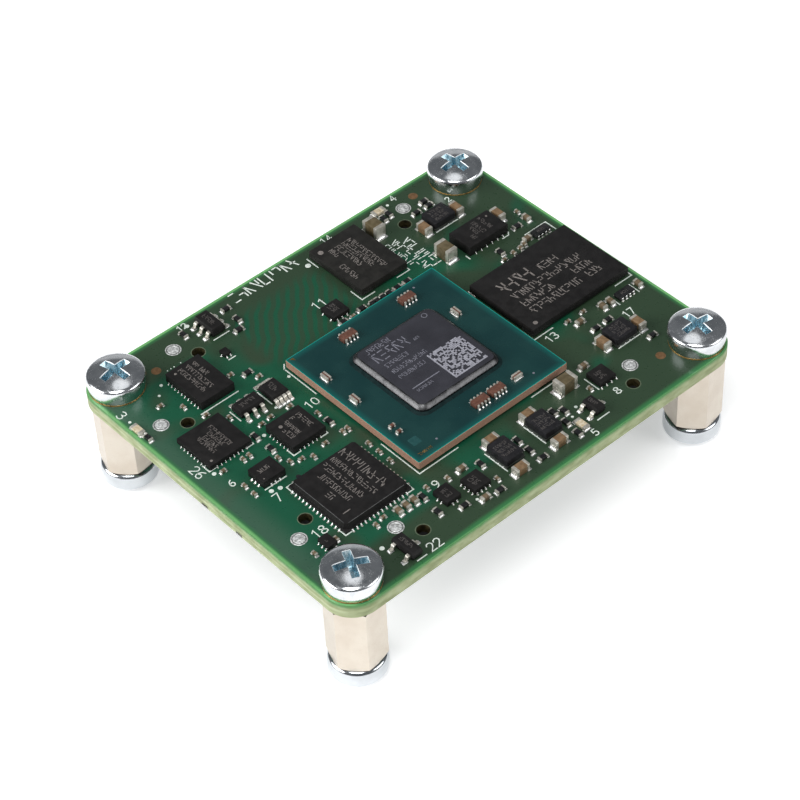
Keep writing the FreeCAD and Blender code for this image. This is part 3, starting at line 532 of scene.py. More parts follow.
# painted highlight: the recess's flared rim is real, but its paler, half-metallic steel paints a bright line
# on it
RIM_HIGHLIGHT_STEEL = Finish("recess_rim", (0.6, 0.64, 0.66), (0.85, 0.88, 0.9), 0.2, rough=0.4, metal=0.5, grain=0.002)
STANDOFF = PlatedFinish("nickel_plated_standoff", (0.6, 0.53, 0.45), (0.67, 0.61, 0.53), 2.5, rough=0.3,
                        rough_spread=0.08, metal=1.0, grain=0.004, grain_size=0.2)
# painted shade: the standoffs' turned ends are the same metal, coloured near black
SHADED_TURNED_END = Finish("shaded_turned_end", (0.03, 0.022, 0.014), (0.06, 0.045, 0.03), 0.3, rough=0.4, metal=0.6,
                    grain=0.004)
MOULD = Finish("black_mould", (0.0098, 0.0092, 0.0092), (0.0158, 0.0148, 0.0146), 0.8, rough=0.55,
               rough_spread=0.05, grain=0.006, grain_size=0.07, shine=0.18)
FLASH_MOULD = Finish("grey_mould", (0.0135, 0.013, 0.0118), (0.022, 0.021, 0.0188), 0.8, rough=0.55,
                     rough_spread=0.05, grain=0.006, grain_size=0.07, shine=0.18)
# painted highlight: light lines along the network chip's left and front top edges
EDGE_HIGHLIGHT = Finish("mould_edge_highlight", (0.06, 0.06, 0.06), (0.12, 0.12, 0.12), 0.3, rough=0.4, grain=0.004)
INDUCTOR = Finish("inductor_mould", (0.0085, 0.0082, 0.0096), (0.0155, 0.015, 0.0175), 0.5, rough=0.5,
                  rough_spread=0.1, grain=0.014, grain_size=0.12, shine=0.3)
MODULE_BASE = Finish("dark_laminate", (0.02, 0.025, 0.02), (0.04, 0.045, 0.038), 0.5, rough=0.55, grain=0.01)
SUBSTRATE = SubstrateFinish("substrate_mask", (0.0045, 0.033, 0.034), (0.0085, 0.045, 0.043), 5.0, rough=0.26,
                            rough_spread=0.04, coat=0.1, grain=0.004, grain_size=0.4, shine=0.4)
SUBSTRATE_SIDE = LayerFinish("substrate_core", (0.29, 0.16, 0.105), (0.5, 0.295, 0.21), 0.6, rough=0.6,
                             grain=0.01)
# partly the adhesive's own dark colour and partly painted shade at the foot of the lid
ADHESIVE = Finish("adhesive_bead", (0.005, 0.016, 0.017), (0.01, 0.026, 0.027), 0.6, rough=0.6, grain=0.02,
                  shine=0.1)
LID = Finish("lid_top", (0.049, 0.049, 0.061), (0.064, 0.064, 0.079), 3.0, rough=0.5, rough_spread=0.05,
             metal=0.55, grain=0.004, grain_size=0.09)
LID_EDGE = PlatedFinish("lid_edge", (0.06, 0.06, 0.062), (0.12, 0.12, 0.123), 0.8, rough=0.3,
                        rough_spread=0.1, metal=1.0, grain=0.005, grain_size=0.3)
CERAMIC = Finish("capacitor_ceramic", (0.165, 0.1, 0.05), (0.245, 0.155, 0.083), 0.35, rough=0.42,
                 grain=0.006)
CERAMIC_SMALL = Finish("small_capacitor_ceramic", (0.12, 0.088, 0.052), (0.195, 0.142, 0.086), 0.3, rough=0.4,
                       grain=0.006)
CERAMIC_DARK = Finish("tall_capacitor_ceramic", (0.085, 0.065, 0.03), (0.14, 0.11, 0.06), 0.5, rough=0.42,
                      grain=0.008)
ARRAY_CERAMIC = Finish("array_ceramic", (0.105, 0.042, 0.027), (0.16, 0.068, 0.045), 0.3, rough=0.45,
                       grain=0.006)
RESISTOR_TOP = Finish("resistor_glaze", (0.006, 0.0065, 0.007), (0.016, 0.016, 0.017), 0.3, rough=0.35,
                      grain=0.006)
LAMP_LENS = Finish("lamp_lens", (0.5, 0.4, 0.24), (0.7, 0.62, 0.48), 0.3, rough=0.25, coat=0.4, grain=0.01)
CONNECTOR = Finish("housing_mould", (0.006, 0.006, 0.006), (0.013, 0.013, 0.013), 1.0, rough=0.5, grain=0.015,
                   shine=0.25)
CONTACT = PlatedFinish("contact_gold", (0.75, 0.52, 0.22), (0.88, 0.66, 0.32), 0.4, rough=0.22,
                       rough_spread=0.1, metal=1.0, grain=0.004)
FLOOR = Finish("floor", (0.86, 0.86, 0.86), (0.9, 0.9, 0.9), 60.0, rough=0.8, glow=0.5)


# Meshes


@dataclass(frozen=True)
class Box:
    """The box of one solid, in millimetres."""

    low: tuple[float, float, float]
    high: tuple[float, float, float]

    @classmethod
    def around(cls, points: Iterable[Sequence[float]]) -> Box:
        """Return the box round some points."""
        columns = list(zip(*points))
        return cls(tuple(map(min, columns)), tuple(map(max, columns)))

    @property
    def middle(self) -> Vector:
        """The middle of the box."""
        return (Vector(self.low) + Vector(self.high)) / 2

    @property
    def size(self) -> Vector:
        """The lengths of its sides."""
        return Vector(self.high) - Vector(self.low)

    @property
    def long_x(self) -> bool:
        """Whether it is longer along X than along Y."""
        return self.size.x > self.size.y

    def sides(self, along_x: bool) -> Point:
        """Return its two level sides, first the one along X or the one along Y."""
        return (self.size.x, self.size.y) if along_x else (self.size.y, self.size.x)

    def place(self, level: float = 0.0, turn: float = 0.0) -> Matrix:
        """Return the place over its middle, at a level and turned about Z by degrees."""
        return at(self.middle.x, self.middle.y, level, turn)


def at(x: float, y: float, z: float = 0.0, turn: float = 0.0) -> Matrix:
    """Return the place at a point, turned about Z by degrees."""
    return Matrix.Translation((x, y, z)) @ Matrix.Rotation(math.radians(turn), 4, "Z")


def rounded(length: float, width: float, radius: float, steps: int = 4) -> list[Point]:
    """Return a rounded rectangle's outline, counterclockwise.

    Args:
        length: its size along X.
        width: its size along Y.
        radius: the radius of its corners.
        steps: the number of chords in each corner.

    Returns:
        The outline's points.
    """
    radius = max(0.0, min(radius, length / 2, width / 2))
    points = []
    for index, (sx, sy) in enumerate(((1, 1), (-1, 1), (-1, -1), (1, -1))):
        for step in range(steps + 1):
            angle = math.pi / 2 * (index + step / steps)
            x = sx * (length / 2 - radius) + radius * math.cos(angle)
            y = sy * (width / 2 - radius) + radius * math.sin(angle)
            points.append((x, y))
    return points


def circle(radius: float, sides: int = 24, x: float = 0.0, y: float = 0.0) -> list[Point]:
    """Return a circle's outline, counterclockwise, round the point x, y."""
    turns = (2 * math.pi * k / sides for k in range(sides))
    return [(x + radius * math.cos(t), y + radius * math.sin(t)) for t in turns]


def edges(path: Sequence[Point], width: float, reach: float = 0.0, loop: bool = False) -> list[Pair]:
    """Find the two edges of a strip with mitred bends.

    Args:
        path: the strip's middle line.
        width: its width.
        reach: how far it goes past its ends, as a share of its width.
        loop: whether its end joins its start.

    Returns:
        The left and the right edge's point at each point of the path.
    """
    line = [Vector(point) for point in path]
    found = []
    for k, point in enumerate(line):
        before = (point - line[k - 1]).normalized() if k or loop else Vector((0, 0))
        last = k + 1 == len(line) and not loop
        after = Vector((0, 0)) if last else (line[(k + 1) % len(line)] - point).normalized()
        along = (before + after).normalized()
        side = Vector((-along.y, along.x)) * width / 2
        if before.length and after.length:
            side /= max(0.5, along.dot(after))
        end = along * width * reach * ((not after.length) - (not before.length))
        found.append((point + side + end, point - side + end))
    return found


class Shape:
    """Gathers points and faces, in millimetres, for one piece's mesh."""

    def __init__(self) -> None:
        """Start empty."""
        self.points: list[tuple[float, float, float]] = []
        self.faces: list[tuple[int, ...]] = []
        self.looks: list[int] = []

    def working(self) -> bmesh.types.BMesh:
        """Turn the shape into working mesh data.

        Returns:
            The mesh data, in metres.
        """
        mesh = bpy.data.meshes.new("working")
        mesh.from_pydata([tuple(c * MM for c in point) for point in self.points], [], self.faces)
        mesh.polygons.foreach_set("material_index", self.looks)
        work = bmesh.new()
        work.from_mesh(mesh)
        bpy.data.meshes.remove(mesh)
        return work

    def skin(self, rings: Sequence[Sequence[Sequence[float]]], look: int = 0, place: Matrix | None = None,
             caps: bool = True, top: int | None = None) -> None:
        """Skin a stack of rings of equal count, closed at both ends.

        Args:
            rings: the rings, from the first end to the last.
            look: which of the piece's finishes the faces take.
            place: where the rings go, or None for where they are.
            caps: whether the ends are closed.
            top: which finish the last end takes, or None for the same.
        """
        first, count = len(self.points), len(rings[0])
        for ring in rings:
            self.points += [tuple(place @ Vector(point)) if place else tuple(point) for point in ring]
        faces = []
        for base in range(first, len(self.points) - count, count):
            for k in range(count):
                after = (k + 1) % count
                faces.append((base + k, base + after, base + count + after, base + count + k))
        if caps:
            faces.append(tuple(reversed(range(first, first + count))))
            faces.append(tuple(range(len(self.points) - count, len(self.points))))
        self.faces += faces
        self.looks += [look] * len(faces)
        if top is not None:
            self.looks[-1] = top

    def block(self, length: float, width: float, radius: float, levels: Sequence[Point], look: int = 0,
              place: Matrix | None = None, steps: int = 3, top: int | None = None) -> None:
        """Add a block with rounded corners and a profile up its side.

        Args:
            length: its size along X.
            width: its size along Y.
            radius: the radius of its upright corners.
            levels: the inset and height of each ring, from the lowest.
            look: which finish it takes.
            place: where it goes.
            steps: the number of chords in each corner.
            top: which finish its top takes, or None for the same.
        """
        rings = []
        for inset, z in levels:
            outline = rounded(length - 2 * inset, width - 2 * inset, max(radius - inset, 0.004), steps)
            rings.append([(x, y, z) for x, y in outline])
        self.skin(rings, look, place, top=top)

    def over(self, box: Box, radius: float, levels: Sequence[Point], look: int = 0, steps: int = 3,
             top: int | None = None) -> None:
        """Add a block as long and wide as a box, where the box is; the arguments are those of block."""
        self.block(box.size.x, box.size.y, radius, levels, look, box.place(), steps, top)

    def soft_block(self, box: Box, edge: float, place: Matrix | None = None) -> None:
        """Add a block with its upper edges rolled over, filling a box.

        Args:
            box: the box it fills.
            edge: the radius of its upper edges and its upright corners.
            place: where the box goes, or None for where it is.
        """
        low, high = box.low[2], box.high[2]
        levels = [(edge * 0.4, low), (0.0, low + edge * 0.5)]
        for angle in (0.0, math.pi / 4, math.pi / 2):
            levels.append((edge * (1 - math.cos(angle)), high - edge * (1 - math.sin(angle))))
        spot = place @ box.place() if place else box.place()
        self.block(box.size.x, box.size.y, edge, levels, 0, spot, 2)

    def lathe(self, profile: Sequence[Point], look: int = 0, place: Matrix | None = None,
              sides: int = 32) -> None:
        """Turn a profile of radius and height about Z, closed by its end rings."""
        rings = [[(x, y, z) for x, y in circle(max(radius, 0.001), sides)] for radius, z in profile]
        self.skin(rings, look, place)

    def bar(self, path: Sequence[Point], thickness: float, width: float, place: Matrix) -> None:
        """Add a bent strip.

        Args:
            path: its middle line, as points of X and Z.
            thickness: its thickness.
            width: its size along Y.
            place: where it goes.
        """
        side = width / 2
        rings = [[(down.x, -side, down.y), (down.x, side, down.y), (up.x, side, up.y), (up.x, -side, up.y)]
                 for up, down in edges(path, thickness)]
        self.skin(rings, 0, place)

    def line(self, path: Sequence[Point], width: float, low: float, high: float, look: int = 0,
             place: Matrix | None = None, loop: bool = False) -> None:
        """Add a flat printed line with mitred bends.

        Args:
            path: its middle line.
            width: its width.
            low: its underside.
            high: its top.
            look: which finish it takes.
            place: where it goes.
            loop: whether its end joins its start.
        """
        rings = [[(*right, low), (*left, low), (*left, high), (*right, high)]
                 for left, right in edges(path, width, 0.4, loop)]
        if loop:
            rings.append(rings[0])
        self.skin(rings, look, place, not loop)

    def fillet(self, reach: float, width: float, height: float, look: int, place: Matrix) -> None:
        """Add a hollow solder fillet that climbs from X = reach to X = 0.

        Args:
            reach: how far it spreads.
            width: its size along Y at the foot.
            height: how high it climbs.
            look: which finish it takes.
            place: where its foot meets the part.
        """
        rings = []
        for step in range(5):
            share = step / 4
            x = reach * (1 - share)
            z = height * share ** 2.2 + 0.02
            half = width / 2 * (0.72 + 0.28 * math.sin(math.pi * (0.25 + share / 2)))
            rings.append([(x, -half, 0), (x, half, 0), (x, half * 0.86, z * 0.8), (x, half * 0.4, z),
                          (x, -half * 0.4, z), (x, -half * 0.86, z * 0.8)])
        self.skin(rings, look, place)


def link(name: str, data: bpy.types.ID) -> bpy.types.Object:
    """Put a mesh, camera or light into the scene.

    Args:
        name: the object's name.
        data: the mesh, camera or light.

    Returns:
        The object.
    """
    made = bpy.data.objects.new(name, data)
    bpy.context.scene.collection.objects.link(made)
    return made


def solid(name: str, work: bmesh.types.BMesh, finishes: Sequence[Finish], crease: float) -> bpy.types.Object:
    """Turn working mesh data into an object whose faces look outwards.

    Args:
        name: the object's name.
        work: the mesh data, which is used up.
        finishes: the finishes, in the order that the faces number them.
        crease: the angle, in degrees, above which an edge stays sharp.

    Returns:
        The object.
    """
    bmesh.ops.recalc_face_normals(work, faces=work.faces)
    mesh = bpy.data.meshes.new(name)
    work.to_mesh(mesh)
    work.free()
    for finish in finishes:
        mesh.materials.append(finish.material())
    mesh.shade_smooth()
    mesh.set_sharp_from_angle(angle=math.radians(crease))
    return link(name, mesh)


@dataclass
class Frame:
    """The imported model's nodes, which the pieces are built round."""

    nodes: dict[str, bpy.types.Object]

    def solids(self, node: str) -> list[Box]:
        """Return the boxes of a node's separate solids, in order along X and Y.

        Args:
            node: the CAD node's name.

        Returns:
            The boxes, in millimetres.
        """
        mesh = self.nodes[node].data
        keys: dict[tuple[int, int, int], int] = {}
        owner = []
        for vertex in mesh.vertices:
            key = tuple(round(c * 1e6) for c in vertex.co)
            owner.append(keys.setdefault(key, len(keys)))
        parent = list(range(len(keys)))

        def root(index: int) -> int:
            """Find the first point of a group.

            Args:
                index: any point of the group.

            Returns:
                The first point's index.
            """
            while parent[index] != index:
                parent[index] = parent[parent[index]]
                index = parent[index]
            return index

        for polygon in mesh.polygons:
            first = root(owner[polygon.vertices[0]])
            for vertex in polygon.vertices[1:]:
                parent[root(owner[vertex])] = first
        groups: dict[int, list[tuple[float, float, float]]] = {}
        for key, index in keys.items():
            groups.setdefault(root(index), []).append(tuple(c / 1e3 for c in key))
        boxes = [Box.around(points) for points in groups.values()]
        return sorted(boxes, key=lambda box: (round(box.middle.x, 2), round(box.middle.y, 2)))

    def show(self, name: str, shape: Shape, finishes: Sequence[Finish], slot: str, node: str = "",
             crease: float = 40.0) -> None:
        """Make a piece from a shape.

        Args:
            name: the piece's name.
            shape: its points and faces.
            finishes: its finishes, in the order that the shape numbers them.
            slot: the record's material slot.
            node: the CAD node that it stands for, if any.
            crease: the angle, in degrees, above which an edge stays sharp.
        """
        self.keep(solid(name, shape.working(), finishes, crease), slot, node)

    def dress(self, node: str, shape: Shape, finishes: Sequence[Finish], slot: str,
              crease: float = 40.0) -> None:
        """Make the piece that stands for a node and is named after it, with the arguments of show."""
        self.show("dressed_" + node, shape, finishes, slot, node, crease)

    def keep(self, piece: bpy.types.Object, slot: str, node: str = "") -> None:
        """Tie a finished piece to the frame.

        Args:
            piece: the piece.
            slot: the record's material slot; not used.
            node: the CAD node that it stands for, if any.
        """
        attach(piece, "root")
        if node:
            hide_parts(node)
        LOG.info("%s: %d faces", piece.name, len(piece.data.polygons))


# Printed marks

DIGITS: dict[str, list[list[Point]]] = {
    "0": [[(0.3, 0), (0.08, 0.12), (0, 0.35), (0, 0.65), (0.08, 0.88), (0.3, 1), (0.52, 0.88), (0.6, 0.65),
           (0.6, 0.35), (0.52, 0.12), (0.3, 0)]],
    "1": [[(0.08, 0.8), (0.34, 1), (0.34, 0)]],
    "2": [[(0, 0.78), (0.1, 0.94), (0.3, 1), (0.5, 0.94), (0.6, 0.74), (0.5, 0.52), (0, 0), (0.6, 0)]],
    "3": [[(0, 0.9), (0.25, 1), (0.5, 0.92), (0.55, 0.74), (0.45, 0.58), (0.25, 0.53), (0.5, 0.46),
           (0.6, 0.28), (0.5, 0.08), (0.25, 0), (0, 0.1)]],
    "4": [[(0.42, 0), (0.42, 1), (0, 0.32), (0.6, 0.32)]],
    "5": [[(0.55, 1), (0.08, 1), (0.04, 0.55), (0.3, 0.62), (0.54, 0.52), (0.6, 0.3), (0.5, 0.08), (0.25, 0),
           (0, 0.1)]],
    "6": [[(0.5, 1), (0.2, 0.82), (0.03, 0.5), (0.02, 0.25), (0.15, 0.04), (0.35, 0), (0.55, 0.1), (0.6, 0.3),
           (0.5, 0.5), (0.3, 0.56), (0.05, 0.42)]],
    "7": [[(0, 1), (0.6, 1), (0.22, 0)]],
    "8": [[(0.3, 0.53), (0.06, 0.68), (0.06, 0.88), (0.3, 1), (0.54, 0.88), (0.54, 0.68), (0.3, 0.53),
           (0, 0.34), (0, 0.12), (0.3, 0), (0.6, 0.12), (0.6, 0.34), (0.3, 0.53)]],
    "9": [[(0.1, 0), (0.4, 0.18), (0.57, 0.5), (0.58, 0.75), (0.45, 0.96), (0.25, 1), (0.05, 0.9), (0, 0.7),
           (0.1, 0.5), (0.3, 0.44), (0.55, 0.58)]],
}


@dataclass
class Number:
    """A plain number printed on a surface."""

    text: str
    x: float
    y: float
    height: float
    turn: float
    width: float = 0.11
    pitch: float = 0.82
    gap: float = 0.22
    rise: float = 0.014

    def draw(self, shape: Shape, level: float) -> None:
        """Draw the digits, centred on the place.

        Args:
            shape: where the strokes go.
            level: the height of the surface that carries them.
        """
        pitch = self.pitch * self.height
        start = -(len(self.text) * pitch - self.gap * self.height) / 2
        place = at(self.x, self.y, level, self.turn)
        for index, digit in enumerate(self.text):
            left = start + index * pitch
            for stroke in DIGITS[digit]:
                points = [(left + px * self.height, (py - 0.5) * self.height) for px, py in stroke]
                shape.line(points, self.width, -SUNK, self.rise, 0, place)


@dataclass
class MarkRow:
    """A row of short strokes where a chip carries its printing; it spells nothing."""

    x: float
    y: float
    length: float
    height: float
    turn: float
    width: float
    strokes: int = 3
    sunk: float = 0.002
    rise: float = 0.006

    def draw(self, shape: Shape, level: float, dice: random.Random, look: int = 0) -> None:
        """Draw the strokes on a surface.

        Args:
            shape: where the strokes go.
            level: the surface's height.
            dice: what picks the strokes.
            look: which finish they take.
        """
        place = at(self.x, self.y, level, self.turn)
        pitch, wide, high = self.height * 0.72, self.height * 0.44, self.height / 2
        kinds = (((0, -1), (0, 1)), ((0, 1), (1, 1)), ((0, -1), (1, -1)), ((0, 0), (1, 0)), ((1, 0), (1, 1)),
                 ((1, -1), (1, 0)), ((0, 1), (1, -1)))
        for index in range(int(self.length / pitch)):
            for ends in dice.sample(kinds, self.strokes):
                stroke = [(index * pitch + wide * x, high * y) for x, y in ends]
                shape.line(stroke, self.width, -self.sunk, self.rise, look, place)


# Studio


def aimed(place: Sequence[float], aim: Sequence[float], roll: float = 0.0) -> Matrix:
    """Work out how a camera or a lamp stands.

    Args:
        place: its place in millimetres.
        aim: the point that it faces.
        roll: how far it is turned about its own axis, in degrees.

    Returns:
        Its matrix in metres.
    """
    start = Vector(place)
    look = (Vector(aim) - start).to_track_quat("-Z", "Y").to_matrix().to_4x4()
    return Matrix.Translation(start * MM) @ look @ Matrix.Rotation(math.radians(roll), 4, "Z")


@dataclass
class Studio:
    """The camera, the floor and the soft lights."""

    position: tuple[float, float, float] = (-112.896, -133.541, 180.052)
    aim: tuple[float, float, float] = (-3.859, -3.160, 12.0)
    roll: float = -3.023
    lens: float = 114.04
    floor_reach: float = 1500.0
    # name, place and size in millimetres, power in watts
    lamps: tuple[tuple[str, tuple[float, float, float], Point, float], ...] = (
        ("soft_box_left", (-420, 190, 260), (460, 330), 2.1),
        ("soft_box_front", (260, -420, 300), (400, 310), 1.1),
        ("soft_box_above", (-150, -120, 440), (230, 230), 1.0),
        ("soft_box_top", (70, 85, 467), (190, 190), 0.09),
        ("soft_box_back", (283, 338, 95), (460, 130), 0.06),
    )
    sky: Colour = (0.9, 0.95, 1.0)
    sky_strength: float = 0.16

    def camera(self) -> None:
        """Set the camera at the photograph's viewing angle."""
        data = bpy.data.cameras.new("camera")
        data.lens, data.sensor_width = self.lens, 36.0
        data.clip_start, data.clip_end = 0.01, 10.0
        eye = link("camera", data)
        eye.matrix_world = aimed(self.position, self.aim, self.roll)
        bpy.context.scene.camera = eye

    def floor(self) -> None:
        """Lay the pale floor under the feet."""
        mesh = bpy.data.meshes.new("floor")
        reach = self.floor_reach * MM
        corners = [(x * reach, y * reach, 0.0) for x, y in ((-1, -1), (1, -1), (1, 1), (-1, 1))]
        mesh.from_pydata(corners, [], [(0, 1, 2, 3)])
        mesh.materials.append(FLOOR.material())
        link("floor", mesh)

    def lights(self) -> None:
        """Hang the soft boxes, which face the module, and set the sky's even light."""
        for name, place, size, power in self.lamps:
            data = bpy.data.lights.new(name, "AREA")
            data.shape = "ELLIPSE"
            data.size, data.size_y = size[0] * MM, size[1] * MM
            data.energy = power
            link(name, data).matrix_world = aimed(place, (0, 0, 8))
        world = bpy.data.worlds.new("studio")
        world.use_nodes = True
        sockets = world.node_tree.nodes["Background"].inputs
        sockets[0].default_value = (*self.sky, 1.0)
        sockets[1].default_value = self.sky_strength
        bpy.context.scene.world = world

    def build(self) -> None:
        """Set up the camera, the floor, the lights and the picture's plain tones."""
        self.camera()
        self.floor()
        self.lights()
        bpy.context.scene.view_settings.view_transform = "Standard"


# The module's parts


@dataclass
class Board:
    """The circuit board with its holes, printed marks and bare pads."""

    frame: Frame
    edge: float = 0.05
    screw_hole: float = 1.6
    peg_hole: float = 0.65

    def face(self, work: bmesh.types.BMesh, loops: Iterable[Ring]) -> None:
        """Fill the flat face between an outline and its holes.

        Args:
            work: where the face goes.
            loops: the outline's ring and the holes' rings.
        """
        edges = []
        for loop in loops:
            for k, vertex in enumerate(loop):
                pair = (vertex, loop[(k + 1) % len(loop)])
                edges.append(work.edges.get(pair) or work.edges.new(pair))
        bmesh.ops.triangle_fill(work, edges=edges, use_beauty=True)

    def wall(self, work: bmesh.types.BMesh, outline: list[Point], shift: float, look: int) -> list[Ring]:
        """Build the side along an outline, with its upper and lower edges broken.

        Args:
            work: where it goes.
            outline: the outline at half the board's height.
            shift: how far the edges move away from the outline's middle.
            look: which finish it takes.

        Returns:
            The rings of points, from the uppermost.
        """
        middle = Vector((sum(p[0] for p in outline), sum(p[1] for p in outline))) / len(outline)
        rings = []
        top, under = BOARD_TOP - self.edge, BOARD_UNDER + self.edge
        for z, moved in ((BOARD_TOP, 1), (top, 0), (under, 0), (BOARD_UNDER, 1)):
            ring = []
            for point in outline:
                away = (Vector(point) - middle).normalized() * shift * moved
                ring.append(work.verts.new(((point[0] + away.x) * MM, (point[1] + away.y) * MM, z * MM)))
            rings.append(ring)
        for upper, lower in zip(rings, rings[1:]):
            for k in range(len(upper)):
                after = (k + 1) % len(upper)
                face = work.faces.new((upper[k], upper[after], lower[after], lower[k]))
                face.material_index = look
        return rings

    def build(self) -> None:
        """Build the board's body with its holes."""
        work = bmesh.new()
        walls = [self.wall(work, rounded(BOARD_LENGTH, BOARD_WIDTH, BOARD_RADIUS, 14), -self.edge, 1)]
        for places, radius in ((SCREW_PLACES, self.screw_hole), (PEGS, self.peg_hole)):
            # the holes' walls take the near-black finish, a painted shade
            walls += [self.wall(work, circle(radius, 32, x, y), self.edge, 2) for x, y in places]
        self.face(work, (rings[0] for rings in walls))
        self.face(work, (rings[-1] for rings in walls))
        board = solid("dressed_board", work, (MASK, LAMINATE, SHADED_HOLE_WALL), 30)
        self.frame.keep(board, "board", "circuit_board")


@dataclass
class Screws:
    """Eight pan-head screws with a cross recess."""

    frame: Frame
    radius: float = 2.9
    height: float = 2.4
    shank: float = 1.45
    crown: float = 7.0
    turns: tuple[float, ...] = (-25.0, -4.0, 2.0, 8.0)
    tight_rim: tuple[Point, ...] = ((0.3, 0.0), (0.22, 0.04), (0.17, 0.14), (0.1, 0.5), (0.03, 1.0))
    round_rim: tuple[Point, ...] = ((0.45, 0.0), (0.3, 0.04), (0.16, 0.15), (0.06, 0.34), (0.01, 0.65))
    shoulder: tuple[Point, ...] = ((0.0, 1.35), (0.01, 1.55), (0.04, 1.68), (0.09, 1.77), (0.16, 1.85))
    # each level of the cross: reach, half the arm's width, height from the crown, whether it follows it
    recess: tuple[tuple[float, float, float, int], ...] = (
        (0.55, 0.2, -1.5, 0), (0.85, 0.26, -1.38, 0), (1.62, 0.37, -0.04, 1), (1.7, 0.45, 0.04, 1),
        (1.7, 0.45, 0.4, 0),
    )
    crease: float = 35.0

    def head(self, shape: Shape, place: Matrix, length: float, rim: Sequence[Point]) -> None:
        """Add one screw.

        Args:
            shape: where it goes.
            place: where its head is seated, with the shank towards -Z.
            length: the shank's length.
            rim: the inset and height of the points of the head's lower rim.
        """
        r, h = self.radius, self.height
        profile = [(self.shank - 0.2, -length), (self.shank, -length + 0.25), (self.shank, 0.0)]
        profile += [(r - inset, level) for inset, level in rim]
        profile += [(r - inset, level) for inset, level in self.shoulder]
        flat = r - self.shoulder[-1][0]
        for step in range(1, 13):
            across = flat * (1 - step / 12)
            profile.append((across, h - across * across / (2 * self.crown)))
        shape.lathe(profile, 0, place, 64)

    def cutter(self, shape: Shape, place: Matrix) -> None:
        """Add the cross that cuts one recess, flared where it meets the crown.

        Args:
            shape: where it goes.
            place: where the screw's head is seated.
        """
        rings = []
        for span, arm, z, follows in self.recess:
            cross = [(arm, arm), (arm, span), (-arm, span), (-arm, arm), (-span, arm), (-span, -arm),
                     (-arm, -arm), (-arm, -span), (arm, -span), (arm, -arm), (span, -arm), (span, arm)]
            rings.append([(x, y, self.height + z - follows * (x * x + y * y) / (2 * self.crown))
                          for x, y in cross])
        shape.skin(rings, 1, place)
        # the flared band where the cross meets the crown takes the rim's finish, a painted highlight
        sides, caps = len(rings[0]), 2
        rim = len(shape.looks) - caps - 2 * sides
        shape.looks[rim:rim + sides] = [2] * sides

    def build(self) -> None:
        """Build the upper screws and the lower ones, whose heads are the feet."""
        sets = (("top_screws", at(0, 0, BOARD_TOP), 5.0, SCREW_STEEL, self.tight_rim),
                ("foot_screws", at(0, 0, self.height) @ UPSIDE_DOWN, 4.0, FOOT_STEEL, self.round_rim))
        for node, seat, length, steel, rim in sets:
            heads, crosses = Shape(), Shape()
            for (x, y), turn in zip(SCREW_PLACES, self.turns):
                place = at(x, y, 0, turn) @ seat
                self.head(heads, place, length, rim)
                self.cutter(crosses, place)
            # the recess's darker, blue, streaked finish is painted shade and reflection
            looks = (steel, SHADED_RECESS_STEEL, RIM_HIGHLIGHT_STEEL)
            piece = solid("dressed_" + node, heads.working(), looks, self.crease)
            cutter = solid(node + "_cutter", crosses.working(), looks, self.crease)
            cut = piece.modifiers.new("recess", "BOOLEAN")
            cut.operation, cut.solver, cut.object = "DIFFERENCE", "EXACT", cutter
            made = bpy.data.meshes.new_from_object(piece.evaluated_get(bpy.context.evaluated_depsgraph_get()))
            piece.modifiers.clear()
            piece.data = made
            made.shade_smooth()
            made.set_sharp_from_angle(angle=math.radians(self.crease))
            bpy.data.objects.remove(cutter)
            self.frame.keep(piece, "screw_steel", node)


@dataclass
class Standoffs:
    """Four hexagonal standoffs with turned ends."""

    frame: Frame
    across: float = 5.0
    turn: float = 11.0
    low: float = 2.4
    high: float = BOARD_UNDER
    end_radius: float = 2.42
    slope: float = 0.62
    sides: int = 72

    def outline(self, limit: float) -> list[Point]:
        """Draw the hexagon's outline.

        Args:
            limit: the furthest that it reaches from its middle.

        Returns:
            The outline's points.
        """
        points = []
        for k in range(self.sides):
            angle = 2 * math.pi * k / self.sides
            reach = min(limit, self.across / 2 / math.cos(angle % (math.pi / 3) - math.pi / 6))
            points.append((reach * math.cos(angle), reach * math.sin(angle)))
        return points

    def build(self) -> None:
        """Build the standoffs, whose ends are turned to a cone that cuts the hexagon's corners."""
        shape = Shape()
        round_end, full = self.outline(self.end_radius), self.outline(self.across)
        rise = [(Vector(point).length - self.end_radius) * self.slope for point in full]
        for x, y in SCREW_PLACES:
            place = at(x, y, 0, self.turn)
            ends = [[(px, py, z) for px, py in round_end] for z in (self.low, self.high)]
            edges = [[(px, py, self.low + up) for (px, py), up in zip(full, rise)],
                     [(px, py, self.high - up) for (px, py), up in zip(full, rise)]]
            # the turned end faces take the near-black finish, a painted shade
            shape.skin([ends[0], edges[0]], 1, place)
            shape.skin(edges, 0, place, False)
            shape.skin([edges[1], ends[1]], 1, place)
        self.frame.dress("standoffs", shape, [STANDOFF, SHADED_TURNED_END], "standoff_metal", 20)


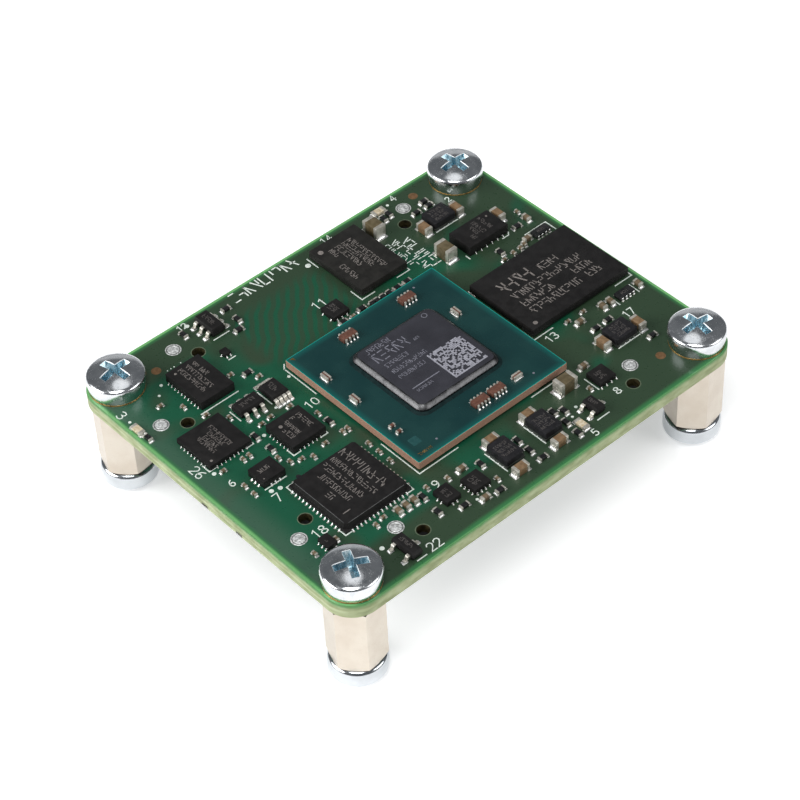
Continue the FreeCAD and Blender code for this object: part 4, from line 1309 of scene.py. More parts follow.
@dataclass
class Print:
    """White print, bare copper and gold on the board's upper side."""

    frame: Frame
    line_width: float = 0.125
    line_rise: float = 0.014
    ring_rise: float = 0.008
    targets: tuple[Point, ...] = ((-18.0, 16.1), (17.0, 18.0), (18.05, -16.05))
    # each line as X, Y of one point after another
    lines: tuple[tuple[float, ...], ...] = (
        (-9, 7.5, -9, 3), (-9, -6.3, -9, -11.55, -4.2, -11.55), (5.3, -11.55, 10.2, -11.55, 10.2, -6.4),
        (-9, 7.7, -8.6, 8.2), (11.1, 2.4, 11.1, 3.4), (13.4, -6.1, 10.9, -6.1, 10.9, -4.2),
        (22, -6.1, 24.3, -6.1, 24.3, -4.9), (2.85, 18.2, 2.85, 16.5), (2.85, 11.5, 2.85, 9.85, 4.5, 9.85),
        (7.5, 9.85, 9.15, 9.85, 9.15, 11), (-18.9, -5.4, -18.9, -4.35, -18, -4.35),
        (-18.9, -11.6, -18.9, -12.6, -18, -12.6), (-11.6, -12.6, -10.7, -12.6, -10.7, -11.6),
        (-22.75, 3.1, -22.75, 2.1, -21.9, 2.1), (-18.4, 2.05, -17.5, 2.05, -17.5, 2.9),
        (-15.8, -0.9, -15.8, -1.75, -15, -1.75), (-12.4, -1.7, -11.6, -1.7, -11.6, -0.9),
        (-18.6, 8.45, -14.1, 8.45), (-20.5, -3.25, -18, -3.25), (19, 6.75, 19.8, 6.75, 20.1, 7.1),
        (14.55, 7.4, 14.55, 6.8), (-3, -13.9, -3, -16.9), (2, -13.9, 2, -16.8), (14.9, 12.12, 17.8, 12.12),
        (15.9, -12.6, 18.8, -12.6), (-11.3, 15.55, -9.4, 15.55), (-16.45, 5.2, -16.45, 6.8),
        (-12.9, 4.9, -12.9, 7), (-16.3, -19.3, -15.2, -19.3), (-12, 12.4, -11.2, 12.4),
        (10.55, -15.2, 10.55, -13.3), (23.85, 4.1, 23.85, 5.6, 21, 5.6), (20.4, -6.9, 20.4, -8.3),
        (23.1, -6.9, 23.1, -8.3), (7.6, -18, 9.1, -18),
    )
    # X, Y, radius
    dots: tuple[tuple[float, float, float], ...] = (
        (-9.35, 6.6, 0.17), (2.3, 17.4, 0.3), (-19.35, -4.0, 0.24), (-22.6, 1.6, 0.22), (-16.1, 2.2, 0.2),
        (-18.9, 14.2, 0.17), (-20.2, -3.75, 0.24), (-24.1, 12.35, 0.16), (14.15, 18.75, 0.16),
        (6.2, -16.05, 0.14), (-11.95, 18.95, 0.24), (-12.95, 4.25, 0.14), (-17.6, -16.0, 0.24),
        (7.35, -15.35, 0.16), (-20.4, -13.05, 0.14), (-7.4, -17.55, 0.16), (-17.2, 15.35, 0.07),
        (-16.8, 15.35, 0.07), (-16.4, 15.35, 0.07), (-15.6, 15.35, 0.07), (-19.9, 13.2, 0.14),
    )
    # text, X, Y, height, turn
    numbers: tuple[tuple[str, float, float, float, float], ...] = (
        ("11", -0.6, 12.35, 1.0, 0), ("18", -20.3, -10.6, 1.0, 0), ("7", -20.3, -4.75, 1.0, 0),
        ("21", -21.9, -14.3, 0.95, 0), ("22", -13.9, -18.9, 1.0, 0), ("9", -8.8, -13.55, 0.9, 0),
        ("26", -23.6, 2.8, 1.0, -90), ("3", -24.1, 13.6, 1.0, -90), ("10", -10.1, 2.35, 0.95, 0),
        ("4", 15.25, 19.2, 0.9, 0), ("2", 19.2, 15.1, 0.7, 0), ("13", 12.4, -7.0, 0.9, 0),
        ("17", 20.2, -9.7, 0.85, 0), ("5", 6.3, -18.95, 0.8, 0), ("8", 11.7, -16.5, 0.85, 0),
        ("14", 6.2, 19.15, 0.85, 0), ("6", -22.2, -0.45, 0.8, 0), ("12", -12.4, 19.2, 0.7, 0),
    )
    # X, Y, length, height, turn, width of stroke
    rows: tuple[tuple[float, float, float, float, float, float], ...] = (
        (-6.3, 18.85, 8.8, 1.3, 0, 0.15), (9.75, 14.2, 4.6, 0.8, -90, 0.11),
        (10.8, 14.2, 6.2, 0.8, -90, 0.11), (11.85, 13.6, 5.6, 0.9, -90, 0.13),
    )

    def build(self) -> None:
        """Print the marks and lay the bare metal."""
        dice = random.Random(7)
        marks = Shape()
        low, high = BOARD_TOP - SUNK, BOARD_TOP + self.line_rise
        for path in self.lines:
            marks.line(list(zip(path[::2], path[1::2])), self.line_width, low, high)
        for x, y, radius in self.dots:
            marks.lathe([(radius, -SUNK), (radius, 0.012)], 0, at(x, y, BOARD_TOP), 20)
        for number in self.numbers:
            Number(*number).draw(marks, BOARD_TOP)
        for row in self.rows:
            MarkRow(*row, strokes=2).draw(marks, BOARD_TOP, dice)
        self.frame.show("printed_marks", marks, [INK], "board")
        metal = Shape()
        for x, y in self.targets:
            metal.lathe([(0.5, -SUNK), (0.5, 0.006), (0.46, 0.012)], 0, at(x, y, BOARD_TOP), 28)
        high = BOARD_TOP + self.ring_rise
        for places, inner, outer, look in ((PEGS, 0.66, 0.75, 1), (SCREW_PLACES, 2.3, 2.75, 2)):
            for x, y in places:
                profile = ((inner, low), (outer, low), (outer, high), (inner, high), (inner, low))
                rings = [[(px, py, z) for px, py in circle(radius, 40, x, y)] for radius, z in profile]
                metal.skin(rings, look, caps=False)
        self.frame.show("bare_pads", metal, [BARE_COPPER, HOLE_RIM, GOLD], "board")


@dataclass
class TabSolder:
    """The solder in the holes of the connectors' tabs: a domed, swirled disc on each filled hole."""

    frame: Frame
    sides: int = 28
    places: tuple[Point, ...] = (
        (15.0, 17.25), (-15.0, 17.25), (15.0, -14.95), (-15.0, -14.95), (-22.2, 10.0), (-22.2, -10.0),
    )
    profile: tuple[Point, ...] = (
        (0.4, -1.7), (0.4, -SUNK), (0.8, -SUNK), (0.8, 0.02), (0.75, 0.05), (0.68, 0.03), (0.6, 0.035),
        (0.53, 0.08), (0.46, 0.045), (0.3, 0.06), (0.22, 0.1), (0.0, 0.1),
    )
    # which ring of faces takes the groove's painted shade
    groove: int = 5

    def build(self) -> None:
        """Build the discs, each with its groove painted dark as shade."""
        shape = Shape()
        for x, y in self.places:
            first = len(shape.looks) + self.groove * self.sides
            shape.lathe(self.profile, 0, at(x, y, BOARD_TOP), self.sides)
            shape.looks[first:first + self.sides] = [1] * self.sides
        looks = [TAB_SOLDER, SHADED_SOLDER_GROOVE]
        self.frame.show("dressed_tab_solder", shape, looks, "solder", "connector_tabs", 50)


class Facing(Enum):
    """The side of a chip that a lead points from, as a turn about Z."""

    EAST = 0.0
    NORTH = 90.0
    WEST = 180.0
    SOUTH = -90.0

    @property
    def along_x(self) -> bool:
        """Whether it points along X."""
        return self in (Facing.EAST, Facing.WEST)

    @classmethod
    def from_chip(cls, lead: Box, chip: Box) -> Facing:
        """Find the side of a chip that a lead stands at.

        Args:
            lead: the lead's box.
            chip: the chip's box.

        Returns:
            The side.
        """
        gap = lead.middle - chip.middle
        reach = chip.size / 2
        if abs(gap.x) / reach.x > abs(gap.y) / reach.y:
            return cls.EAST if gap.x > 0 else cls.WEST
        return cls.NORTH if gap.y > 0 else cls.SOUTH


def nearest(box: Box, others: Sequence[Box]) -> Box:
    """Find the box whose outline is nearest to the middle of another.

    Args:
        box: the box that is given.
        others: the boxes to choose from.

    Returns:
        The nearest of the others.
    """

    def gap(other: Box) -> float:
        """Measure the gap from the box's middle to the other's outline."""
        away = box.middle - other.middle
        return max(abs(away.x) - other.size.x / 2, abs(away.y) - other.size.y / 2)

    return min(others, key=gap)


@dataclass
class Chips:
    """The moulded chips with their laser marks."""

    frame: Frame
    edge: float = 0.03
    names: tuple[str, ...] = (
        "memory_chip", "flash_chip", "port_chip", "clock_chip", "timer_chip", "oscillator", "converter_chip",
        "small_chips",
    )
    # finish, level, height, turn and width of stroke, then X, Y and length of each row
    rows: tuple[tuple[int, float, float, float, float, tuple[tuple[float, float, float], ...]], ...] = (
        (0, 13.1, 1.45, 0, 0.18, ((12.8, 0.45, 4.7),)),
        (0, 13.1, 0.85, 0, 0.1, ((17.75, 0.2, 2.7), (12.85, -1.2, 9.6), (12.9, -2.5, 4.7), (19.75, -2.5, 2.7),
                                 (12.8, -3.8, 6.9), (20.45, -3.8, 2.1))),
        (0, 13.1, 0.6, -90, 0.07, ((7.1, 16.6, 6.0), (6.35, 16.6, 5.0), (5.5, 16.6, 4.2), (4.7, 16.6, 1.4),
                                   (3.95, 14.1, 3.0))),
        (0, 12.85, 0.95, -90, 0.09, ((-12.65, -5.0, 6.2),)),
        (0, 12.85, 0.6, -90, 0.065, ((-13.95, -5.15, 6.1), (-15.05, -5.15, 6.0), (-16.15, -5.95, 4.5))),
        (0, 12.85, 0.62, -90, 0.075, ((-17.2, -8.2, 1.0),)),
        (0, 12.6, 0.45, -90, 0.045, ((-21.1, 5.75, 2.75), (-20.55, 5.5, 2.2), (-19.9, 5.65, 2.5),
                                     (-19.35, 6.2, 3.5))),
        (0, 12.9, 0.5, -90, 0.055, ((-14.8, 0.7, 1.7), (-14.05, 1.5, 2.5))),
        (0, 12.9, 0.5, -90, 0.07, ((-13.3, 1.5, 0.4),)),
        (0, 12.9, 0.5, -90, 0.055, ((-12.55, 1.5, 2.5),)),
        (0, 13.0, 0.5, -90, 0.055, ((-16.85, 13.75, 4.0), (-16.05, 13.75, 4.2))),
        (0, 13.0, 0.5, -90, 0.07, ((-15.25, 12.5, 1.3),)),
        (0, 13.0, 0.4, -90, 0.06, ((-15.3, 13.7, 0.9),)),
        (0, 12.85, 0.42, 0, 0.06, ((-19.95, -1.75, 1.5),)),
        (1, 13.15, 0.45, -90, 0.07, ((16.25, 8.3, 0.7), (16.95, 9.3, 1.5), (17.6, 9.7, 2.0),
                                     (18.55, 9.8, 2.0))),
        (1, 12.6, 0.4, 0, 0.06, ((-0.75, 10.75, 1.1), (-0.75, 10.15, 1.1))),
        (1, 12.6, 0.35, 0, 0.05, ((-9.55, -15.1, 0.9), (-9.55, -15.7, 0.9))),
        (1, 12.6, 0.4, 0, 0.06, ((-6.75, -15.75, 1.1), (-6.75, -16.35, 1.1), (11.25, -14.0, 1.1),
                                 (11.25, -14.55, 1.1))),
        (1, 12.5, 0.3, 0, 0.04, ((-20.9, -12.2, 0.4),)),
    )
    # X, Y, radius, level
    dots: tuple[tuple[float, float, float, float], ...] = (
        (11.9, -5.25, 0.24, 13.1), (3.7, 17.0, 0.3, 13.1), (-22.05, 2.6, 0.15, 12.6),
        (-14.8, 1.25, 0.2, 12.9), (-17.5, 13.6, 0.14, 13.0), (19.3, 9.5, 0.13, 13.15),
        (-20.15, -2.75, 0.08, 12.85),
    )
    dash: tuple[Point, ...] = ((-17.0, -11.05), (-17.8, -11.05))
    dash_width: float = 0.1
    dash_level: float = 12.85
    dot_rise: float = 0.006
    dimple: Point = (-17.7, -4.75)

    def build(self) -> None:
        """Build the chips and their marks."""
        for name in self.names:
            shape = Shape()
            for box in self.frame.solids(name):
                shape.soft_block(box, self.edge)
            self.frame.dress(name, shape, [FLASH_MOULD if name == "flash_chip" else MOULD], "mould")
        self.network()
        dice = random.Random(11)
        marks = Shape()
        for look, level, height, turn, width, starts in self.rows:
            for x, y, length in starts:
                MarkRow(x, y, length, height, turn, width).draw(marks, level, dice, look)
        for x, y, radius, level in self.dots:
            marks.lathe([(radius, -MARK_SUNK), (radius, self.dot_rise)], 0, at(x, y, level), 20)
        marks.line(self.dash, self.dash_width, self.dash_level - MARK_SUNK, self.dash_level + self.dot_rise)
        self.frame.show("laser_marks", marks, [LASER, LASER_DIM], "mould")

    def network(self) -> None:
        """Build the network chip: a square flange and the tapered mould on it, with its dimple and a painted
        highlight along two top edges.
        """
        box = self.frame.solids("network_chip")[0]
        low, high, inset, cut = box.low[2], box.high[2], 0.3, 0.35
        shape = Shape()
        shape.over(box, 0.12, [(0.02, low), (0, low + 0.03), (0, low + 0.22), (0.03, low + 0.25)])
        levels = [(0.1, low + 0.2), (0.1, low + 0.27), (inset - 0.03, high - 0.03), (inset, high)]
        shape.over(box, 0.5, levels, 0, 1)
        shape.lathe([(0.27, -0.01), (0.27, 0.004), (0.22, 0.006)], 1, at(*self.dimple, high), 24)
        # light lines along the mould's left and front top edges: a painted highlight
        left, front = box.middle.x - box.size.x / 2 + inset, box.middle.y - box.size.y / 2 + inset
        for path in (((left, front + box.size.y - 1.0), (left, front + cut)),
                     ((left + cut, front), (left + box.size.x - 1.0, front))):
            shape.line(path, 0.06, high - 0.012, high + 0.003, 2)
        self.frame.dress("network_chip", shape, [MOULD, INDUCTOR, EDGE_HIGHLIGHT], "mould", 25)


@dataclass
class Leads:
    """The flat leads of the leadless chips, each with its pad and solder."""

    frame: Frame
    # the leads' node, their chip's node, the metal's share of the solid's width
    pairs: tuple[tuple[str, str, float], ...] = (
        ("network_chip_leads", "network_chip", 0.8), ("port_leads", "port_chip", 0.55),
        ("clock_leads", "clock_chip", 0.55), ("timer_leads", "timer_chip", 0.55),
        ("oscillator_leads", "oscillator", 1.0), ("converter_leads", "converter_chip", 0.5),
        ("small_chip_leads", "small_chips", 0.7), ("resistor_network_legs", "resistor_networks", 1.0),
    )

    def lead(self, shape: Shape, box: Box, facing: Facing, slim: float) -> None:
        """Add one lead: its pad on the board, the tinned lead and the solder that climbs it.

        Args:
            shape: where the lead goes.
            box: the CAD lead's box.
            facing: the side of the chip that it points from.
            slim: its width as a share of the box's.
        """
        reach, width = box.sides(facing.along_x)
        width *= slim
        cut = reach * max(0.0, 1 - slim) * 0.4
        place = box.place(BOARD_TOP, facing.value) @ at(-cut / 2, 0)
        reach -= cut
        height = box.high[2] - BOARD_TOP
        shape.block(reach * 0.9, width, 0.05, THIN_PAD, 1, place @ at(-reach * 0.05, 0))
        bare = [(0, 0.0), (0, height - 0.03), (0.03, height)]
        shape.block(reach * 0.3, width * 0.8, 0.04, bare, 0, place @ at(-reach * 0.35, 0))
        shape.fillet(reach * 0.5, width * 0.85, height * 0.8, 0, place @ at(-reach * 0.22, 0))

    def build(self) -> None:
        """Build each chip's leads."""
        for name, chip, slim in self.pairs:
            chips = self.frame.solids(chip)
            shape = Shape()
            for box in self.frame.solids(name):
                self.lead(shape, box, Facing.from_chip(box, nearest(box, chips)), slim)
            self.frame.dress(name, shape, [SOLDER, TIN], "terminal")


@dataclass
class LeggedChips:
    """Small chips on bent legs, soldered at their feet."""

    frame: Frame
    thickness: float = 0.14
    pad: tuple[Point, ...] = ((0, -SUNK), (0, 0.02), (0.05, 0.04))

    def body(self, shape: Shape, box: Box) -> None:
        """Add a moulded body with its parting line and drafted sides.

        Args:
            shape: where it goes.
            box: the CAD body's box.
        """
        low, high = box.low[2], box.high[2]
        seam = low + (high - low) * 0.5
        levels = [(0.12, low), (0.02, seam - 0.02), (0.0, seam - 0.02), (0.0, seam + 0.02),
                  (0.02, seam + 0.02), (0.1, high - 0.07), (0.13, high - 0.02), (0.18, high)]
        shape.over(box, 0.08, levels, 0, 2)

    def leg(self, shape: Shape, box: Box, facing: Facing) -> None:
        """Add one bent leg, its pad and its solder.

        Args:
            shape: where they go.
            box: the CAD leg's box.
            facing: the side of the chip that it points from.
        """
        reach, width = box.sides(facing.along_x)
        place = box.place(BOARD_TOP, facing.value) @ at(-reach / 2, 0)
        foot, top = 0.03 + self.thickness / 2, box.high[2] - BOARD_TOP - self.thickness / 2
        path = [(-0.12, top), (reach * 0.2, top), (reach * 0.32, top - 0.05), (reach * 0.4, top - 0.16),
                (reach * 0.46, foot + 0.14), (reach * 0.54, foot + 0.03), (reach * 0.66, foot), (reach, foot)]
        shape.bar(path, self.thickness, width, place)
        shape.block(reach * 0.7 + 0.15, width + 0.12, 0.06, self.pad, 1, place @ at(reach * 0.7 + 0.04, 0))
        shape.fillet(0.18, width + 0.02, 0.16, 1, place @ at(reach, 0))
        shape.fillet(0.14, width, 0.2, 1, place @ at(reach * 0.5, 0, 0, 180))
        for side in (-1, 1):
            shape.fillet(0.06, reach * 0.4, 0.1, 1, place @ at(reach * 0.76, side * width / 2, 0, 90 * side))

    def build(self) -> None:
        """Build the bodies and the legs."""
        dice = random.Random(17)
        bodies, legs = Shape(), Shape()
        chips = self.frame.solids("legged_chips")
        for box in chips:
            self.body(bodies, box)
            length, width = box.sides(box.long_x)
            along = Vector((1, 0) if box.long_x else (0, -1))
            spot = box.middle.xy - along * length * 0.3
            row = MarkRow(spot.x, spot.y, length * 0.62, width * 0.3, 0 if box.long_x else -90, 0.06)
            row.draw(bodies, box.high[2], dice, 1)
        for box in self.frame.solids("bent_legs"):
            self.leg(legs, box, Facing.from_chip(box, nearest(box, chips)))
        self.frame.dress("legged_chips", bodies, [MOULD, LASER_DIM], "mould", 30)
        self.frame.dress("bent_legs", legs, [TIN, SOLDER], "terminal")


@dataclass(frozen=True)
class EndedKind:
    """One kind of part with a metal end at each side.

    Attributes:
        body: the CAD node of its bodies.
        ends: the CAD node of its ends, or nothing where one solid holds body and ends.
        finish: the body's finish.
        end_length: how far an end reaches along the part.
        edge: the radius of the ends' edges.
        slot: the body's material slot.
        across: whether the ends are on the part's long sides.
        level: the height of the surface that it is soldered to.
        spread: how far its solder spreads.
        climb: how high its solder climbs, as a share of its height.
        hangs: whether it hangs below that surface.
    """

    body: str
    ends: str
    finish: Finish
    end_length: float
    edge: float
    slot: str
    across: bool = False
    level: float = BOARD_TOP
    spread: float = 0.19
    climb: float = 0.35
    hangs: bool = False


ENDED_KINDS = (
    EndedKind("bulk_capacitors", "bulk_capacitor_ends", CERAMIC_DARK, 0.45, 0.06, "ceramic", spread=0.3,
              climb=0.25),
    EndedKind("large_capacitors", "large_capacitor_ends", CERAMIC, 0.32, 0.045, "ceramic", spread=0.24,
              climb=0.3),
    EndedKind("medium_capacitors", "medium_capacitor_ends", CERAMIC_SMALL, 0.25, 0.04, "ceramic"),
    EndedKind("small_capacitors", "", CERAMIC_SMALL, 0.17, 0.03, "ceramic", spread=0.13, climb=0.35),
    EndedKind("chip_resistors", "", RESISTOR_TOP, 0.17, 0.025, "resistor_body", spread=0.16, climb=0.5),
    EndedKind("indicator_lamps", "indicator_lamp_ends", LAMP_LENS, 0.35, 0.05, "lamp_body", spread=0.17,
              climb=0.45),
    EndedKind("reverse_capacitors", "reverse_capacitor_ends", ARRAY_CERAMIC, 0.2, 0.03, "array_body", True,
              SUBSTRATE_TOP, 0.1),
    EndedKind("tiny_capacitors", "", ARRAY_CERAMIC, 0.14, 0.025, "array_body", False, SUBSTRATE_TOP, 0.07),
    EndedKind("under_capacitors", "", CERAMIC, 0.25, 0.05, "ceramic", level=BOARD_UNDER, hangs=True),
)


@dataclass
class EndedParts:
    """Capacitors, resistors and lamps with metal ends, and the solder at each end."""

    frame: Frame
    kinds: tuple[EndedKind, ...] = ENDED_KINDS
    inset: float = 0.012
    end_inset: float = 0.03
    lift: float = 0.01
    pad: tuple[Point, ...] = ((0, -SUNK), (0, 0.015), (0.03, 0.03))

    def part(self, kind: EndedKind, box: Box, bodies: Shape, ends: Shape, solder: Shape) -> None:
        """Add one part.

        Args:
            kind: what kind it is.
            box: the whole part's box, ends included.
            bodies: where its body goes.
            ends: where its ends go.
            solder: where its solder goes.
        """
        along_x = box.long_x != kind.across
        length, width = box.sides(along_x)
        place = box.place(kind.level, 0 if along_x else 90)
        if kind.hangs:
            place = place @ UPSIDE_DOWN
        inner, height, end = self.inset, box.size.z, kind.end_length
        low = (self.end_inset - length / 2, inner - width / 2, self.lift)
        body = Box(low, (length / 2 - self.end_inset, width / 2 - inner, height - inner))
        bodies.soft_block(body, kind.edge * 0.6, place)
        for side in (-1, 1):
            near, far = sorted((side * (length / 2 - end), side * length / 2))
            ends.soft_block(Box((near, -width / 2, 0), (far, width / 2, height)), kind.edge, place)
            foot = place @ at(side * length / 2, 0, 0, 0 if side > 0 else 180)
            across = kind.spread + end * 0.8
            solder.block(across, width + 0.1, 0.06, self.pad, 0, foot @ at(kind.spread / 2 - end * 0.4, 0))
            solder.fillet(kind.spread * 0.9, width + 0.02, height * kind.climb, 0, foot @ at(-0.01, 0))

    def whole(self, kind: EndedKind) -> list[Box]:
        """Find the whole parts of a kind.

        Args:
            kind: the kind.

        Returns:
            Each part's box, its ends included.
        """
        bodies = self.frame.solids(kind.body)
        if not kind.ends:
            return bodies
        ends = self.frame.solids(kind.ends)
        found = []
        for body in bodies:
            own = [end for end in ends if nearest(end, bodies) is body]
            found.append(Box.around([corner for end in own for corner in (end.low, end.high)]))
        return found

    def build(self) -> None:
        """Build every kind."""
        for kind in self.kinds:
            bodies, ends, solder = Shape(), Shape(), Shape()
            for box in self.whole(kind):
                self.part(kind, box, bodies, ends, solder)
            self.frame.dress(kind.body, bodies, [kind.finish], kind.slot)
            self.frame.show("ends_of_" + kind.body, ends, [TIN], "terminal", kind.ends)
            self.frame.show("solder_of_" + kind.body, solder, [SOLDER], "solder")


@dataclass
class Processor:
    """The processor: substrate on solder balls, metal lid on adhesive, capacitor arrays and marks."""

    frame: Frame
    lid_edge: float = 0.4
    # X, Y, length, height, width of stroke
    marks: tuple[tuple[float, float, float, float, float], ...] = (
        (-3.25, 2.25, 3.1, 0.6, 0.08), (-3.25, 1.0, 4.5, 1.2, 0.12), (1.35, 0.5, 0.7, 0.3, 0.05),
        (-3.1, -0.4, 3.0, 0.5, 0.065), (-3.1, -1.4, 4.6, 0.5, 0.065), (-3.1, -2.4, 3.5, 0.45, 0.065),
        (-3.1, -4.9, 2.1, 0.3, 0.05),
    )
    corner_mark: tuple[Point, ...] = ((-8.6, 7.3), (-8.15, 7.3), (-8.15, 6.85))
    dots: tuple[Point, ...] = ((6.8, 6.6), (-5.6, -10.2), (6.85, -10.2))
    dot_radius: float = 0.12
    patch: Point = (-7.25, -9.0)
    underline: tuple[Point, ...] = ((-3.25, -4.4), (0.05, -4.4))
    circle_place: Point = (4.3, 2.3)
    circle_radius: float = 0.28
    code_corner: Point = (0.65, -6.15)
    code_side: float = 4.15
    code_cells: int = 22
    code_share: float = 0.6

    def substrate(self) -> None:
        """Build the substrate and its printed marks."""
        box = self.frame.solids("processor_substrate")[0]
        low, high = box.low[2], box.high[2]
        shape = Shape()
        shape.over(box, 0.15, [(0.02, low), (0, low + 0.02), (0, high - 0.03), (0.03, high)], 1, 2, 0)
        looks = [SUBSTRATE, SUBSTRATE_SIDE]
        self.frame.show("dressed_substrate", shape, looks, "substrate", "processor_substrate")
        marks = Shape()
        ends = (high - MARK_SUNK, high + MARK_RISE)
        marks.skin([[(x, y, z) for x, y in self.corner_mark] for z in ends], 1)
        for x, y in self.dots:
            marks.lathe([(self.dot_radius, -MARK_SUNK), (self.dot_radius, MARK_RISE)], 0, at(x, y, high), 16)
        MarkRow(-8.15, -10.6, 1.8, 0.28, 0, 0.06).draw(marks, high, random.Random(3), 1)
        marks.block(1.0, 1.0, 0.1, [(0, high - MARK_SUNK), (0, high + MARK_SUNK)], 2, at(*self.patch))
        self.frame.show("substrate_marks", marks, [LID_MARK, GOLD, PATCH], "substrate")

    def lid(self) -> None:
        """Build the lid, its adhesive and its laser marks."""
        box = self.frame.solids("processor_lid")[0]
        low, high, edge = box.low[2], box.high[2], self.lid_edge
        levels = [(0.06, low), (0, low + 0.08), (0, high - edge), (0.03, high - edge + 0.05),
                  (edge - 0.06, high - 0.04), (edge, high - 0.015), (edge + 0.06, high)]
        shape = Shape()
        shape.over(box, 1.0, levels, 1, 8, 0)
        self.frame.show("dressed_lid", shape, [LID, LID_EDGE], "lid_metal", "processor_lid", 25)
        # the bead round the lid carries painted shade as well as the adhesive's own colour
        box = self.frame.solids("processor_adhesive")[0]
        bead = Shape()
        foot, head = box.low[2], box.high[2]
        levels = [(0, foot), (0.08, foot + 0.04), (0.3, head + 0.02), (0.36, head + 0.06)]
        bead.over(box, 1.3, levels, 0, 6)
        self.frame.show("dressed_adhesive", bead, [ADHESIVE], "adhesive", "processor_adhesive")
        dice = random.Random(5)
        marks = Shape()
        for x, y, length, height, width in self.marks:
            MarkRow(x, y, length, height, 0, width).draw(marks, high, dice)
        marks.line(self.underline, 0.12, high - MARK_SUNK, high + MARK_RISE)
        outline = circle(self.circle_radius, 20, *self.circle_place)
        marks.line(outline, 0.07, high - MARK_SUNK, high + MARK_RISE, loop=True)
        left, front = self.code_corner
        cell = self.code_side / self.code_cells
        levels = [(0, -MARK_SUNK), (0, MARK_RISE)]
        for row in range(self.code_cells):
            for column in range(self.code_cells):
                if not row or not column or dice.random() < self.code_share:
                    place = at(left + (column + 0.5) * cell, front + (row + 0.5) * cell, high)
                    marks.block(cell * 0.94, cell * 0.94, 0.02, levels, 1, place, 1)
        self.frame.show("lid_marks", marks, [LID_MARK, CODE_MARK], "lid_metal")

    def arrays(self) -> None:
        """Build the capacitor arrays with their four ends at each side."""
        bodies, ends = Shape(), Shape()
        boxes = self.frame.solids("capacitor_arrays")
        for box in boxes:
            bodies.soft_block(box, 0.05)
        for box in self.frame.solids("capacitor_array_ends"):
            ends.soft_block(box, 0.035)
            facing = Facing.from_chip(box, nearest(box, boxes))
            side = 1 if facing is Facing.NORTH else -1
            foot = at(box.middle.x, box.high[1] if side > 0 else box.low[1], SUBSTRATE_TOP, 90 * side)
            ends.fillet(0.16, box.size.x * 1.1, 0.16, 1, foot @ at(-0.02, 0))
        self.frame.dress("capacitor_arrays", bodies, [ARRAY_CERAMIC], "array_body")
        self.frame.show("dressed_array_ends", ends, [TIN, SOLDER], "terminal", "capacitor_array_ends")

    def build(self) -> None:
        """Build the processor."""
        self.substrate()
        self.lid()
        self.arrays()


@dataclass
class Balls:
    """The solder balls under the processor, the memory and the flash chip."""

    frame: Frame
    pitch: float = 0.8
    widest: float = 0.27
    bulge: float = 0.8
    rings: tuple[Point, ...] = ((0.5, -1.0), (0.86, -0.6), (1.0, 0.0), (0.86, 0.6), (0.5, 1.0))

    def build(self) -> None:
        """Build a grid of flattened balls in each field."""
        shape = Shape()
        for box in self.frame.solids("solder_balls"):
            height = box.size.z
            radius = min(self.widest, height * self.bulge)
            profile = [(radius * r, height / 2 * z) for r, z in self.rings]
            across = int((box.size.x - 2 * radius) / self.pitch)
            along = int((box.size.y - 2 * radius) / self.pitch)
            for i in range(across + 1):
                for j in range(along + 1):
                    x = box.middle.x + (i - across / 2) * self.pitch
                    y = box.middle.y + (j - along / 2) * self.pitch
                    shape.lathe(profile, 0, at(x, y, box.middle.z), 8)
        self.frame.dress("solder_balls", shape, [SOLDER], "solder", 60)


@dataclass
class PowerModules:
    """Power modules: a base with terminals and the moulded inductor on it."""

    frame: Frame
    terminals: int = 4
    pitch: float = 0.62
    mark_start: float = -0.85
    mark_pitch: float = 0.58
    mark: tuple[float, ...] = (1.8, 0.38, 0, 0.05)  # length, height, turn, width of stroke

    def build(self) -> None:
        """Build the blocks and the bases with their terminals."""
        dice = random.Random(13)
        blocks, bases = Shape(), Shape()
        for box in self.frame.solids("power_module_blocks"):
            low, high = box.low[2], box.high[2]
            levels = [(0.03, low), (0, low + 0.04), (0, high - 0.06), (0.018, high - 0.018), (0.06, high)]
            blocks.over(box, 0.16, levels)
            for row in (1, 0, -1):
                x, y = box.middle.x + self.mark_start, box.middle.y + row * self.mark_pitch
                MarkRow(x, y, *self.mark).draw(blocks, high, dice, 1)
        for box in self.frame.solids("power_module_bases"):
            low, high, middle = box.low[2], box.high[2], box.middle
            bases.over(box, 0.06, [(0.01, low), (0, low + 0.03), (0, high)])
            for side in (-1, 1):
                for k in range(self.terminals):
                    shift = (k - (self.terminals - 1) / 2) * self.pitch
                    x = middle.x + (shift if box.long_x else side * box.size.x / 2)
                    y = middle.y + (side * box.size.y / 2 if box.long_x else shift)
                    foot = at(x, y, BOARD_TOP, 90 * side if box.long_x else 90 - 90 * side)
                    bases.block(0.1, 0.2, 0.04, THIN_PAD, 1, foot @ at(0.02, 0))
                    bases.fillet(0.04, 0.16, 0.06, 1, foot)
        looks = [INDUCTOR, LASER_DIM]
        self.frame.show("dressed_power_blocks", blocks, looks, "mould", "power_module_blocks", 30)
        looks = [MODULE_BASE, SOLDER]
        self.frame.show("dressed_power_bases", bases, looks, "module_base", "power_module_bases")


@dataclass
class ResistorNetworks:
    """Resistor networks: dark bars with a faint mark."""

    frame: Frame
    mark: tuple[float, ...] = (0.9, 0.3, 0, 0.05)  # length, height, turn, width of stroke

    def build(self) -> None:
        """Build the bars."""
        shape = Shape()
        for box in self.frame.solids("resistor_networks"):
            shape.soft_block(box, 0.04)
            row = MarkRow(box.middle.x - self.mark[0] / 2, box.middle.y, *self.mark)
            row.draw(shape, box.high[2], random.Random(2), 1)
        self.frame.dress("resistor_networks", shape, [RESISTOR_TOP, LASER_DIM], "resistor_body")


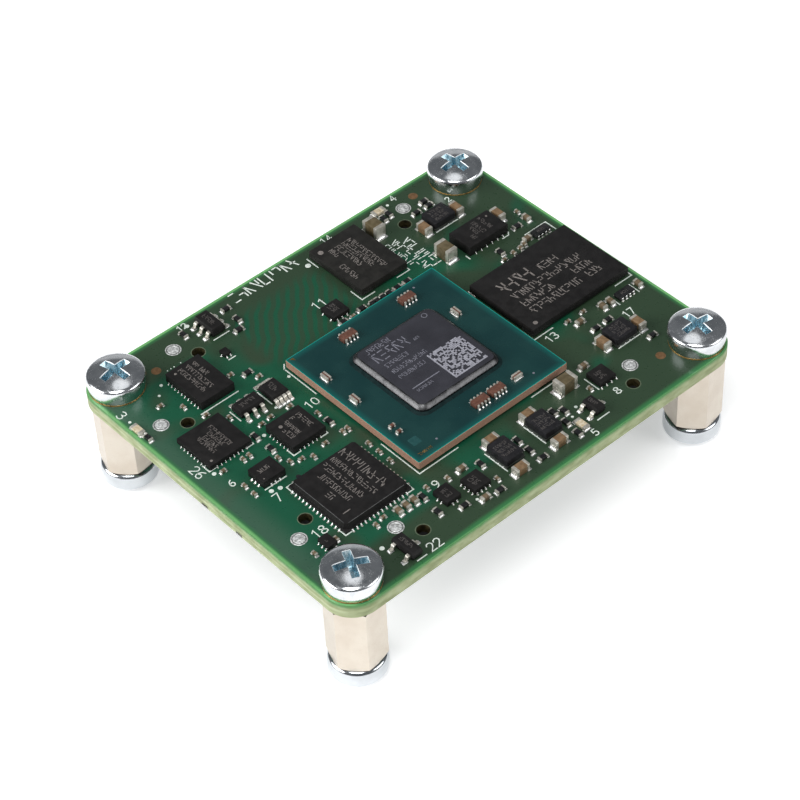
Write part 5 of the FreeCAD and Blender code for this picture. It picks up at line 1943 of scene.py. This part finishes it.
@dataclass
class Connectors:
    """The connectors under the board: housings with their tongue and pegs, and the contacts on the tongue."""

    frame: Frame
    names: tuple[str, ...] = ("back_connector", "front_connector", "side_connector")
    base: float = 0.8
    wall: float = 0.7
    end: float = 2.3
    tongue: float = 0.9
    drop: float = 0.3
    chamfer: float = 0.12
    pitch: float = 0.5
    contact_width: float = 0.24
    peg_radius: float = 0.58
    peg_across: float = 1.0
    peg_inset: float = 2.05
    peg_height: float = 0.9

    def housing(self, box: Box) -> Shape:
        """Build a housing, open below, with a bevelled mouth, a tongue and two pegs.

        Args:
            box: the CAD housing's box.

        Returns:
            Its shape.
        """
        length, width = box.sides(box.long_x)
        depth = BOARD_UNDER - box.low[2]
        place = box.place(BOARD_UNDER, 0 if box.long_x else 90)
        shape = Shape()
        rings = []
        inset, cut = self.wall, self.chamfer
        for away, z in ((0.05, 0.0), (0.0, -0.05), (0.0, 0.06 - depth), (0.06, -depth), (inset - cut, -depth),
                        (inset, cut - depth), (inset, -self.base)):
            outline = rounded(length - 2 * away, width - 2 * away, max(0.02, 0.3 - away), 3)
            rings.append([(x, y, z) for x, y in outline])
        shape.skin(rings, 0, place)
        span, end = length - 2 * self.wall - self.end, self.drop - depth
        shape.block(span, self.tongue, 0.1, [(0.06, end), (0, end + 0.06), (0, 0.02 - self.base)], 0, place)
        r, tip = self.peg_radius, self.peg_height
        profile = [(r, -0.1), (r, tip - 0.2), (r - 0.15, tip), (0.0, tip)]
        for side in (-1, 1):
            shape.lathe(profile, 0, place @ at(side * (length / 2 - self.peg_inset), -self.peg_across), 24)
        return shape

    def build(self) -> None:
        """Build the housings and the contacts."""
        for name in self.names:
            self.frame.dress(name, self.housing(self.frame.solids(name)[0]), [CONNECTOR], "connector_mould")
        shape = Shape()
        for box in self.frame.solids("connector_contacts"):
            span, _ = box.sides(box.long_x)
            levels = [(0.02, box.low[2]), (0, box.low[2] + 0.05), (0, box.high[2])]
            sides = (self.contact_width, box.size.y) if box.long_x else (box.size.x, self.contact_width)
            for step in range(round(span / self.pitch)):
                shift = (step + 0.5) * self.pitch - span / 2
                along = (shift, 0) if box.long_x else (0, shift)
                shape.block(*sides, 0.03, levels, 0, box.place() @ at(*along), 1)
        self.frame.show("dressed_contacts", shape, [CONTACT], "contact_metal", "connector_contacts")


def main() -> None:
    """Build the module's looks in order."""
    logging.basicConfig(level=logging.INFO, format="%(message)s")
    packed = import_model()
    frame = Frame(packed["nodes"])
    Studio().build()
    parts = (Board, Print, TabSolder, Screws, Standoffs, Chips, Leads, LeggedChips, EndedParts, Processor,
             Balls, PowerModules, ResistorNetworks, Connectors)
    for part in parts:
        part(frame).build()


if __name__ == "__main__":
    main()
